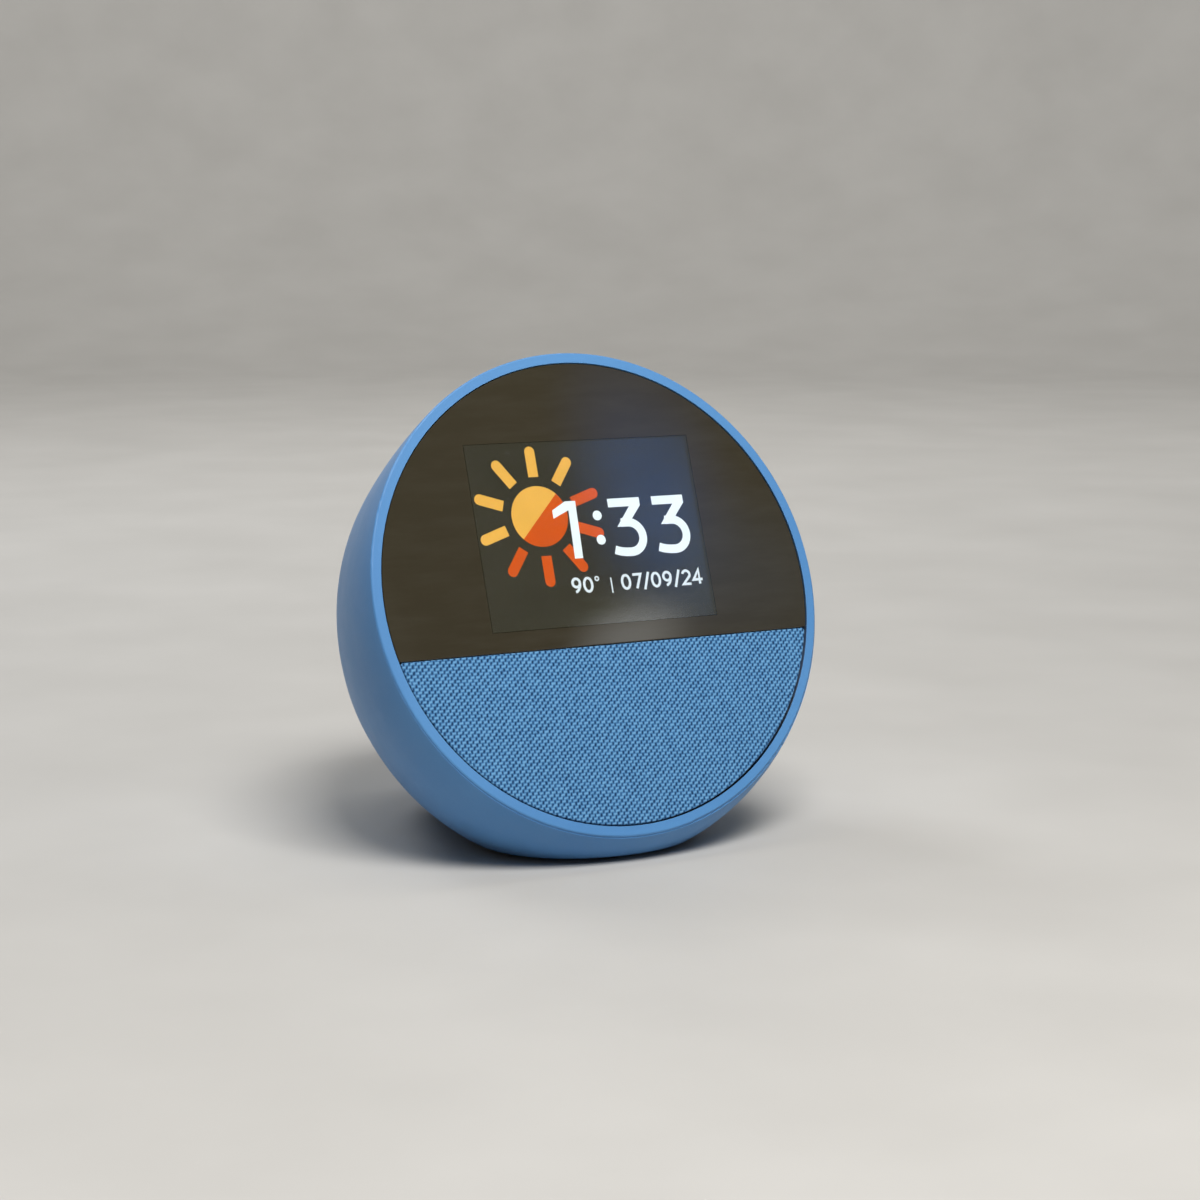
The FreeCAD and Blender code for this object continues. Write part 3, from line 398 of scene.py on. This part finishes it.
def fabric_sheet():
    """The cloth over the speaker grille: real weave relief, with its edge turned in all round."""
    step_x = WEAVE_X / 8.0
    step_u = WEAVE_U / 4.0
    columns = int(FABRIC_R / step_x) + 2
    lowest = int(-FABRIC_R / step_u) - 2
    highest = int(FABRIC_TOP / step_u) + 2
    index = {}
    places = []
    for j in range(lowest, highest):
        for i in range(-columns, columns + 1):
            x, u = i * step_x, j * step_u
            out, nx, nu = fabric_edge(x, u, FABRIC_LIP)
            if out > 0.75 * step_x:
                continue
            if out > -0.25 * step_x:
                x, u = x - nx * out, u - nu * out
            relief = RELIEF * (1.0 - weave_height(x, u))
            index[i, j] = len(places)
            places.append((x, u, FABRIC_FRONT + relief))
    faces = []
    for (i, j), first in index.items():
        corners = [index.get(key) for key in ((i + 1, j), (i + 1, j + 1), (i, j + 1))]
        if None not in corners:
            faces.append((first, *corners))
    mesh = bpy.data.meshes.new("grille_cloth")
    mesh.from_pydata([face_point(*place) for place in places], [], faces)
    edit = bmesh.new()
    edit.from_mesh(mesh)
    bmesh.ops.delete(edit, geom=[v for v in edit.verts if not v.link_faces], context="VERTS")
    bmesh.ops.dissolve_degenerate(edit, edges=edit.edges, dist=0.00001)
    turn_in(edit)
    bmesh.ops.recalc_face_normals(edit, faces=edit.faces)
    edit.to_mesh(mesh)
    edit.free()
    mesh.polygons.foreach_set("use_smooth", [True] * len(mesh.polygons))
    cloth = bpy.data.objects.new("grille_cloth", mesh)
    bpy.context.scene.collection.objects.link(cloth)
    return cloth


def turn_in(edit):
    """Rolls the sheet's border over a small radius and down into the groove."""
    turns = [math.radians(90.0 * k / LIP_STEPS) for k in range(1, LIP_STEPS + 1)]
    rings = [(FABRIC_LIP * math.sin(turn), FABRIC_LIP * (1.0 - math.cos(turn))) for turn in turns]
    rings.append((FABRIC_LIP, FABRIC_LIP + FABRIC_SKIRT))
    back = FACE_MATRIX.inverted()
    border = [e for e in edit.edges if e.is_boundary]
    base = {}
    for e in border:
        for v in e.verts:
            p = back @ v.co / MM
            _, nx, nu = fabric_edge(p.x, p.y, FABRIC_LIP)
            base[v] = (p.x, p.y, nx, nu)
    for outward, down in rings:
        made = bmesh.ops.extrude_edge_only(edit, edges=border)["geom"]
        fresh = {v for v in made if isinstance(v, bmesh.types.BMVert)}
        border = [e for e in made if isinstance(e, bmesh.types.BMEdge) and e.is_boundary]
        border = [e for e in border if e.verts[0] in fresh and e.verts[1] in fresh]
        moved = {}
        for v in fresh:
            source = next(e.other_vert(v) for e in v.link_edges if e.other_vert(v) in base)
            x, u, nx, nu = base[source]
            v.co = face_point(x + nx * outward, u + nu * outward, FABRIC_FRONT + down)
            moved[v] = base[source]
        base = moved


def fabric_material():
    """Knitted speaker cloth: mid-blue yarn, pale thread crests from a painted highlight, dark upright holes
    from painted shade, in staggered rows.
    """
    m = Nodes("grille_cloth")
    x, u, _ = m.split(m.face_coords())
    wander = m.noise(m.face_coords(), 0.8, 2.0)
    x = m.math("ADD", x, m.fit(wander, 0.2, 0.8, -0.16, 0.16))
    u = m.math("ADD", u, m.math("MULTIPLY", x, WEAVE_DROP))
    across = m.math("MULTIPLY", x, 2.0 * math.pi / WEAVE_X)
    down = m.math("MULTIPLY", u, math.pi / WEAVE_U)

    def wave(angle, share):
        return m.math("MULTIPLY", m.math("COSINE", angle), share)

    level = m.math("ADD", wave(m.math("MULTIPLY", down, 2.0), ROW_RISE),
                   wave(m.math("MULTIPLY", across, 2.0), -COLUMN_DIP))
    level = m.math("ADD", level, wave(m.math("SUBTRACT", across, down), -RISING_THREAD))
    level = m.math("ADD", level, wave(m.math("ADD", across, down), -FALLING_THREAD))
    uneven = m.noise(m.face_coords(), 1.1, 2.0)
    level = m.math("ADD", level, m.fit(uneven, 0.25, 0.75, -0.35, 0.35))
    height = m.fit(level, HOLE_LEVEL, CREST_LEVEL)
    twist = m.math("SINE", m.math("MULTIPLY", m.math("ADD", m.math("MULTIPLY", x, 0.9), u), 30.0))
    fuzz = m.noise(m.face_coords(), 9.0, 4.0, 0.7)
    slub = m.noise(m.face_coords(), 0.25, 3.0)
    yarn = m.mix(m.fit(slub, 0.3, 0.7), srgb(60, 116, 168), srgb(68, 124, 176))
    # Painted shade: the holes are darkened to deep blue, standing for the shade in them and the dark grille
    # seen through them.
    tint = m.mix(m.fit(height, 0.0, 0.5, smooth=True), srgb(14, 52, 92), yarn)
    # Painted highlight: the thread crests are lifted to pale blue, broken up by the fuzz noise.
    painted_crest_highlight = m.math("MULTIPLY", m.fit(height, 0.5, 1.0, smooth=True), m.fit(fuzz, 0.3, 0.7, 0.6, 1.0))
    tint = m.mix(painted_crest_highlight, tint, srgb(116, 172, 216))
    height = m.math("ADD", height, m.math("MULTIPLY", twist, 0.07))
    height = m.math("ADD", height, m.math("MULTIPLY", fuzz, 0.22))
    m.set(color=tint, rough=m.fit(fuzz, 0.2, 0.8, 0.72, 0.9), sheen=0.25, sheen_rough=0.4, specular=0.25,
          normal=m.bump(height, 0.55, 0.00010))
    return m.material


# ---------------------------------------------------------------- the lit picture
SUN_X, SUN_U, SUN_R = -12.0, 18.1, 7.0
SUN_SPLIT = math.radians(45.6)
RAY_IN, RAY_OUT, RAY_W = 9.1, 16.2, 2.5
RAYS = 10
YELLOW_RAYS = (7, 8, 9, 0, 1)
TIME_LOW, TIME_HIGH = 7.6, 21.2
TIME_STROKE = 2.0
LINE_LOW, LINE_H = -0.1, 3.7
LINE_STROKE = 0.62
PICTURE_STEP = 0.012


def arc(x, u, rx, ru, start, end, count=14):
    """Points along an ellipse from start to end degrees, anticlockwise when end is the larger."""
    turns = [math.radians(start + (end - start) * k / count) for k in range(count + 1)]
    return [(x + rx * math.cos(t), u + ru * math.sin(t)) for t in turns]


def stroke(points, width):
    """Closed outline of a pen line of constant width, mitred at its turns."""
    left, right = [], []
    last = len(points) - 1
    for k, (x, u) in enumerate(points):
        before = points[max(k - 1, 0)]
        after = points[min(k + 1, last)]
        into = Vector((x - before[0], u - before[1]))
        out = Vector((after[0] - x, after[1] - u))
        into = into.normalized() if into.length > 0 else out.normalized()
        out = out.normalized() if out.length > 0 else into
        normal = Vector((-(into.y + out.y), into.x + out.x)).normalized()
        side = normal * (width / 2.0) / max(normal.dot(Vector((-into.y, into.x))), 0.45)
        left.append((x + side.x, u + side.y))
        right.append((x - side.x, u - side.y))
    return left, right


class Drawing:
    """Flat picture pieces on one plane behind the lens, collected into one mesh."""

    def __init__(self, depth):
        self.depth = depth
        self.points = []
        self.faces = []

    def polygon(self, outline):
        first = len(self.points)
        self.points += [face_point(x, u, self.depth) for x, u in outline]
        self.faces.append(tuple(range(first, first + len(outline))))

    def line(self, points, width):
        left, right = stroke(points, width)
        first = len(self.points)
        count = len(points)
        self.points += [face_point(x, u, self.depth) for x, u in left + right]
        for k in range(count - 1):
            self.faces.append((first + k, first + count + k, first + count + k + 1, first + k + 1))

    def piece(self, name, material):
        mesh = bpy.data.meshes.new(name)
        mesh.from_pydata(self.points, [], self.faces)
        mesh.materials.append(material)
        made = bpy.data.objects.new(name, mesh)
        bpy.context.scene.collection.objects.link(made)
        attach(made, "base")
        return made


def half_disc(start):
    return arc(SUN_X, SUN_U, SUN_R, SUN_R, start, start + 180.0, 48)


def sun_ray(number):
    """One ray: flat towards the disc, round at its far end."""
    half = RAY_W / 2.0
    outline = [(half, RAY_IN), *arc(0.0, RAY_OUT - half, half, half, 0.0, 180.0, 16), (-half, RAY_IN)]
    turn = -2.0 * math.pi * number / RAYS
    return [(SUN_X + x * math.cos(turn) - u * math.sin(turn), SUN_U + x * math.sin(turn) + u * math.cos(turn))
            for x, u in outline]


def draw_sun():
    split = math.degrees(SUN_SPLIT)
    day, dusk = Drawing(PICTURE_S + PICTURE_STEP), Drawing(PICTURE_S + PICTURE_STEP)
    day.polygon(half_disc(split))
    dusk.polygon(half_disc(split + 180.0))
    for number in range(RAYS):
        (day if number in YELLOW_RAYS else dusk).polygon(sun_ray(number))
    day.piece("picture_sun_day", lit_material("lit_yellow", srgb(255, 196, 88), 1.12))
    dusk.piece("picture_sun_dusk", lit_material("lit_orange", srgb(240, 100, 26), 1.0))


def draw_three(sketch, left):
    """A flat-topped three of the time's height, its left edge at left."""
    half = TIME_STROKE / 2.0
    waist = TIME_LOW + 7.9
    radius = (waist - TIME_LOW - half) / 2.0
    under_bar = TIME_HIGH - TIME_STROKE + 0.1
    sketch.line([(left + 0.1, TIME_HIGH - half), (left + 8.35, TIME_HIGH - half)], TIME_STROKE)
    sketch.polygon([(left + 5.55, under_bar), (left + 8.35, under_bar),
                    (left + 4.2, waist - half + 0.05), (left + 1.6, waist - half + 0.05)])
    bowl = arc(left + 4.35, waist - radius, radius, radius, 90.0, -90.0, 28)
    tail = [(left + 3.0, TIME_LOW + 1.03), (left + 1.5, TIME_LOW + 1.25), (left + 0.15, TIME_LOW + 1.7)]
    sketch.line([(left + 2.7, waist), *bowl, *tail], TIME_STROKE)


def draw_dot(sketch, x, u, radius):
    sketch.polygon(arc(x, u, radius, radius, 0.0, 345.0, 23))


def draw_time():
    sketch = Drawing(PICTURE_S)
    sketch.polygon([(-4.95, TIME_LOW + 0.3), (-2.85, TIME_LOW + 0.3), (-2.55, TIME_HIGH), (-4.55, TIME_HIGH)])
    sketch.polygon([(-3.6, TIME_HIGH), (-5.2, TIME_HIGH), (-8.7, TIME_HIGH - 1.9),
                    (-8.7, TIME_HIGH - 3.85), (-4.5, TIME_HIGH - 2.05), (-3.6, TIME_HIGH - 2.2)])
    for u in (11.85, 17.5):
        draw_dot(sketch, 2.45, u, 1.15)
    draw_three(sketch, 5.5)
    draw_three(sketch, 16.9)
    sketch.piece("picture_time", lit_material("lit_white", (0.86, 0.98, 1.0, 1.0), 1.35))


def small_sign(sign):
    """Pen lines of one small sign in a box 0.66 wide and 1 high, and how far the next one starts."""
    shapes = {
        "0": ([arc(0.33, 0.5, 0.27, 0.42, 90, 450, 20)], 0.80),
        "1": ([[(0.10, 0.72), (0.36, 0.92), (0.36, 0.04)]], 0.66),
        "2": ([[*arc(0.33, 0.67, 0.25, 0.25, 165, -25, 12), (0.08, 0.08), (0.62, 0.08)]], 0.80),
        "4": ([[(0.66, 0.32), (0.02, 0.32), (0.44, 0.94), (0.44, 0.04)]], 0.82),
        "7": ([[(0.04, 0.92), (0.60, 0.92), (0.24, 0.04)]], 0.74),
        "9": ([arc(0.33, 0.66, 0.25, 0.26, 0, 360, 18),
               [(0.58, 0.66), *arc(0.14, 0.66, 0.44, 0.58, -4, -78, 8)]], 0.80),
        "/": ([[(0.04, -0.06), (0.42, 1.02)]], 0.56),
        "o": ([arc(0.18, 0.84, 0.12, 0.12, 0, 360, 12)], 0.42),
        "|": ([[(0.1, -0.12), (0.1, 0.84)]], 0.30),
    }
    return shapes[sign]


def draw_line(sketch, text, start):
    for sign in text:
        lines, ahead = small_sign(sign)
        width = LINE_STROKE * (0.55 if sign in "|o" else 1.0)
        for points in lines:
            sketch.line([(start + x * LINE_H, LINE_LOW + u * LINE_H) for x, u in points], width)
        start += ahead * LINE_H


def draw_caption():
    sketch = Drawing(PICTURE_S)
    draw_line(sketch, "90o", -6.9)
    draw_line(sketch, "|", 2.85)
    draw_line(sketch, "07/09/24", 5.75)
    sketch.piece("picture_caption", lit_material("lit_white_small", (0.86, 0.97, 1.0, 1.0), 1.15))


# ---------------------------------------------------------------- materials on the carried-over nodes
GLOSS_BLACK = (0.012, 0.012, 0.013, 1.0)
SOOT = (0.020, 0.020, 0.022, 1.0)
FOOT_NAVY = srgb(24, 40, 66)
STEEL = (0.56, 0.56, 0.57, 1.0)
DARK_ZINC = (0.22, 0.22, 0.23, 1.0)

finishes = {
    ("housing_shell",): shell_material(),
    ("cover_glass",): glass_material(),
    ("touch_sensor",): film_material(),
    ("lcd_panel",): panel_material(),
    ("volume_down_button", "mute_button", "volume_up_button"):
        shell_material("button_soft_touch", srgb(86, 146, 202), srgb(80, 138, 195)),
    ("base_plate",): moulded("base_plastic", srgb(38, 66, 104), 0.55, 6000.0, 0.00004, 0.10),
    ("rubber_foot",): rubbery("foot_rubber", FOOT_NAVY, 0.82),
    ("grille_plate",): moulded("grille_plastic", SOOT, 0.6),
    ("front_frame",): moulded("frame_plastic", SOOT, 0.5),
    ("speaker_enclosure",): moulded("chamber_plastic", (0.028, 0.028, 0.030, 1.0), 0.55),
    ("dc_jack",): moulded("jack_plastic", GLOSS_BLACK, 0.38, 7000.0),
    ("switch_bodies",): moulded("switch_plastic", (0.035, 0.035, 0.037, 1.0), 0.45),
    ("volume_down_plunger", "mute_plunger", "volume_up_plunger"):
        moulded("plunger_plastic", (0.62, 0.60, 0.55, 1.0), 0.45),
    ("board_connectors",): moulded("connector_plastic", (0.74, 0.70, 0.60, 1.0), 0.42),
    ("lcd_backlight",): moulded("diffuser_plastic", (0.82, 0.82, 0.80, 1.0), 0.35, 4000.0),
    ("light_sensor",): moulded("sensor_plastic", (0.03, 0.015, 0.02, 1.0), 0.2, 9000.0, 0.00001),
    ("display_flex", "button_ribbon"): banded("ribbon_film", (0.62, 0.33, 0.08, 1.0), (0.42, 0.20, 0.05, 1.0),
                                              0.0006, 0.0, 0.4),
    ("lens_adhesive",): rubbery("adhesive_foam", (0.018, 0.018, 0.018, 1.0), 0.85),
    ("speaker_gasket",): rubbery("gasket_foam", (0.022, 0.022, 0.022, 1.0), 0.92, 3600.0, 0.00008),
    ("speaker_surround",): rubbery("surround_rubber", (0.016, 0.016, 0.017, 1.0), 0.6),
    ("mic_gasket",): rubbery("mic_rubber", (0.03, 0.03, 0.03, 1.0), 0.75),
    ("thermal_pad",): rubbery("thermal_silicone", (0.28, 0.36, 0.46, 1.0), 0.7),
    ("speaker_leads",): rubbery("lead_jacket", (0.38, 0.030, 0.025, 1.0), 0.5, 7000.0),
    ("power_lead",): rubbery("power_jacket", (0.020, 0.020, 0.021, 1.0), 0.5, 7000.0),
    ("lcd_frame",): metal("stamped_steel", STEEL, 0.34, (14.0, 1.0, 1.0)),
    ("shield_can",): metal("tinned_steel", (0.66, 0.66, 0.66, 1.0), 0.3, (1.0, 1.0, 9.0)),
    ("heat_sink",): metal("cast_aluminium", (0.70, 0.71, 0.72, 1.0), 0.42, (1.0, 9.0, 1.0)),
    ("speaker_top_plate", "speaker_yoke"): metal("zinc_plate", STEEL, 0.36),
    ("speaker_basket",): moulded("basket_coat", (0.026, 0.026, 0.027, 1.0), 0.4, 3000.0, 0.00004),
    ("speaker_magnet",): moulded("ferrite", (0.040, 0.038, 0.037, 1.0), 0.62, 2400.0, 0.00005, 0.2),
    ("voice_coil",): banded("wound_copper", (0.72, 0.34, 0.17, 1.0), (0.24, 0.09, 0.04, 1.0),
                            0.0002, 1.0, 0.3),
    ("speaker_cone",): fibrous("cone_pulp", (0.030, 0.030, 0.031, 1.0)),
    ("dust_cap",): fibrous("cap_paper", (0.042, 0.042, 0.044, 1.0), 0.6),
    ("speaker_spider",): fibrous("spider_cloth", (0.50, 0.36, 0.14, 1.0)),
    ("frame_screws", "speaker_screws", "board_screws", "button_board_screws", "base_screws"):
        metal("dark_zinc_screw", DARK_ZINC, 0.3, (6.0, 6.0, 1.0), 2200.0),
    ("dc_pin",): metal("nickel_pin", (0.68, 0.66, 0.62, 1.0), 0.2, (1.0, 1.0, 5.0), 2600.0),
    ("microphones",): metal("mic_can_metal", (0.72, 0.66, 0.50, 1.0), 0.28, (1.0, 1.0, 4.0), 2600.0),
    ("wifi_antenna",): board("antenna_board", (0.010, 0.012, 0.014, 1.0), (0.55, 0.34, 0.12, 1.0), 0.0016),
    ("main_board", "button_board"): board("printed_board", (0.010, 0.075, 0.040, 1.0)),
}
for names, finish in finishes.items():
    for name in names:
        held = nodes[name].data.materials
        if len(held) == 0:
            held.append(finish)
        for number in range(len(held)):
            held[number] = finish

# ---------------------------------------------------------------- cloth and picture
cloth = fabric_sheet()
cloth.data.materials.append(fabric_material())
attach(cloth, "base")
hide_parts("grille_fabric")
draw_sun()
draw_time()
draw_caption()


# ---------------------------------------------------------------- floor, light and camera
def floor_material():
    """Pale matt studio sweep with a barely visible fine mottle."""
    m = Nodes("studio_sweep")
    point = m.object_point()
    mottle = m.noise(point, 14.0, 4.0)
    m.set(color=m.mix(m.fit(mottle, 0.3, 0.7), (0.52, 0.51, 0.49, 1.0), (0.56, 0.55, 0.53, 1.0)),
          rough=m.fit(mottle, 0.3, 0.7, 0.6, 0.68), specular=0.3)
    return m.material


SWEEP_FLAT, SWEEP_BEND, SWEEP_WALL = 1.7, 0.8, 2.3
SWEEP_INNER = 0.6
SWEEP_SECTORS, SWEEP_STEPS = 96, 16
FLOOR_GAP = 0.0002


def studio_sweep():
    """A wide round floor that curves up into a wall on every side."""
    bends = [math.radians(90.0 * k / SWEEP_STEPS) for k in range(1, SWEEP_STEPS + 1)]
    profile = [(SWEEP_INNER, 0.0), (SWEEP_FLAT, 0.0)]
    profile += [(SWEEP_FLAT + SWEEP_BEND * math.sin(t), SWEEP_BEND * (1.0 - math.cos(t))) for t in bends]
    profile.append((SWEEP_FLAT + SWEEP_BEND, SWEEP_WALL))
    turns = [2 * math.pi * k / SWEEP_SECTORS for k in range(SWEEP_SECTORS)]
    places, faces = [(0.0, 0.0, -FLOOR_GAP)], []
    for r, z in profile:
        places += [(r * math.cos(t), r * math.sin(t), z - FLOOR_GAP) for t in turns]
    for k in range(SWEEP_SECTORS):
        after = (k + 1) % SWEEP_SECTORS
        faces.append((0, 1 + k, 1 + after))
        for ring in range(len(profile) - 1):
            low, high = 1 + ring * SWEEP_SECTORS, 1 + (ring + 1) * SWEEP_SECTORS
            faces.append((low + k, high + k, high + after, low + after))
    mesh = bpy.data.meshes.new("studio_sweep")
    mesh.from_pydata(places, [], faces)
    mesh.polygons.foreach_set("use_smooth", [True] * len(mesh.polygons))
    mesh.materials.append(floor_material())
    made = bpy.data.objects.new("studio_sweep", mesh)
    bpy.context.scene.collection.objects.link(made)


def area_light(name, place, target, size, power, color=(1.0, 1.0, 1.0)):
    data = bpy.data.lights.new(name, "AREA")
    data.shape = "RECTANGLE"
    data.size, data.size_y = size
    data.energy = power
    data.color = color
    made = bpy.data.objects.new(name, data)
    made.location = place
    made.rotation_euler = (Vector(target) - Vector(place)).to_track_quat("-Z", "Y").to_euler()
    bpy.context.scene.collection.objects.link(made)


WORLD_STRENGTH = 0.13


def world_light():
    world = bpy.data.worlds.new("studio_world")
    world.use_nodes = True
    world.node_tree.nodes["Background"].inputs["Color"].default_value = (1.0, 0.98, 0.94, 1.0)
    world.node_tree.nodes["Background"].inputs["Strength"].default_value = WORLD_STRENGTH
    bpy.context.scene.world = world


def photo_camera():
    data = bpy.data.cameras.new("view")
    data.lens = LENS
    data.sensor_width = 36.0
    data.sensor_fit = "HORIZONTAL"
    data.clip_start = 0.01
    data.clip_end = 30.0
    made = bpy.data.objects.new("view", data)
    made.location = CAMERA
    made.rotation_euler = (math.radians(90.0) - CAMERA_ELEVATION, 0.0, -CAMERA_AZIMUTH)
    bpy.context.scene.collection.objects.link(made)
    bpy.context.scene.camera = made


def mirrored(x, u, distance):
    """Where the camera sees, mirrored in the lens at a point of the face, things at a distance from it."""
    spot = face_point(x, u, GLASS_S)
    ray = (spot - CAMERA).normalized()
    outward = FACE_TURN.to_3x3() @ Vector((0.0, 0.0, 1.0))
    return spot + (ray - 2.0 * ray.dot(outward) * outward) * distance


def spread(m, x, y, at_x, at_y, reach_x, reach_y):
    """Distance from a centre, 1 at the edge of an oval."""
    across = m.math("DIVIDE", m.math("SUBTRACT", x, at_x), reach_x)
    upward = m.math("DIVIDE", m.math("SUBTRACT", y, at_y), reach_y)
    squares = m.math("ADD", m.math("MULTIPLY", across, across), m.math("MULTIPLY", upward, upward))
    return m.math("SQRT", squares)


BLUE_X, BLUE_U = 17.0, 24.0
FAINT_X, FAINT_U = 38.0, 0.0
PALE_X, PALE_U = 5.0, -13.0
CARD_AWAY = 0.9
CARD_HALF_W, CARD_HALF_H = 0.16, 0.22


def card_material(blue_at, faint_at, pale_at):
    """Dim glows that fade out to their edges: a tall blue one, a fainter one beside it, a pale one low."""
    m = Nodes("studio_card")
    x, y, _ = m.split(m.object_point())
    cloud = m.fit(m.noise(m.object_point(), 9.0, 3.0), 0.3, 0.7, 0.75, 1.15)

    def glow_at(spot, reach_x, reach_y, strength):
        far = spread(m, x, y, spot.x, spot.y, reach_x, reach_y)
        return m.math("MULTIPLY", m.fit(far, 0.1, 1.0, strength, 0.0, smooth=True), cloud)

    glow = m.mix(glow_at(blue_at, 0.055, 0.110, 0.8), (0.0, 0.0, 0.0, 1.0), (0.10, 0.48, 1.5, 1.0))
    glow = m.mix(glow_at(faint_at, 0.060, 0.070, 0.4), glow, (0.20, 0.50, 1.0, 1.0))
    glow = m.mix(glow_at(pale_at, 0.048, 0.030, 0.85), glow, (2.5, 2.6, 2.7, 1.0))
    m.set(color=(0.0, 0.0, 0.0, 1.0), rough=m.fit(cloud, 0.0, 2.0, 0.8, 1.0), specular=0.0, glow=glow,
          glow_strength=1.0)
    return m.material


def reflector_card():
    """A soft glowing card that only shows as a reflection in the lens."""
    place = mirrored(BLUE_X, BLUE_U, CARD_AWAY)
    turn = (face_point(BLUE_X, BLUE_U, 0.0) - place).to_track_quat("Z", "Y")
    blue_at, faint_at, pale_at = (turn.inverted() @ (mirrored(x, u, CARD_AWAY) - place)
                                  for x, u in ((BLUE_X, BLUE_U), (FAINT_X, FAINT_U), (PALE_X, PALE_U)))
    w, h = CARD_HALF_W, CARD_HALF_H
    mesh = bpy.data.meshes.new("studio_card")
    mesh.from_pydata([(-w, -h, 0), (w, -h, 0), (w, h, 0), (-w, h, 0)], [], [(0, 1, 2, 3)])
    mesh.materials.append(card_material(blue_at, faint_at, pale_at))
    made = bpy.data.objects.new("studio_card", mesh)
    made.location = place
    made.rotation_euler = turn.to_euler()
    made.visible_camera = False
    made.visible_diffuse = False
    made.visible_shadow = False
    bpy.context.scene.collection.objects.link(made)


photo_camera()
studio_sweep()
world_light()
reflector_card()
middle = (0.0, 0.0, 0.055)
area_light("key", (-0.06, -0.42, 0.62), middle, (0.32, 0.26), 5.5, (1.0, 0.98, 0.95))
area_light("wall_wash", (0.2, 0.35, 1.5), (1.1, 2.3, 0.7), (0.8, 0.8), 26.0, (1.0, 0.99, 0.97))
area_light("back_soft", (-0.25, 0.60, 0.80), middle, (0.4, 0.4), 2.4, (0.93, 0.96, 1.0))
bpy.context.scene.view_settings.view_transform = "Standard"
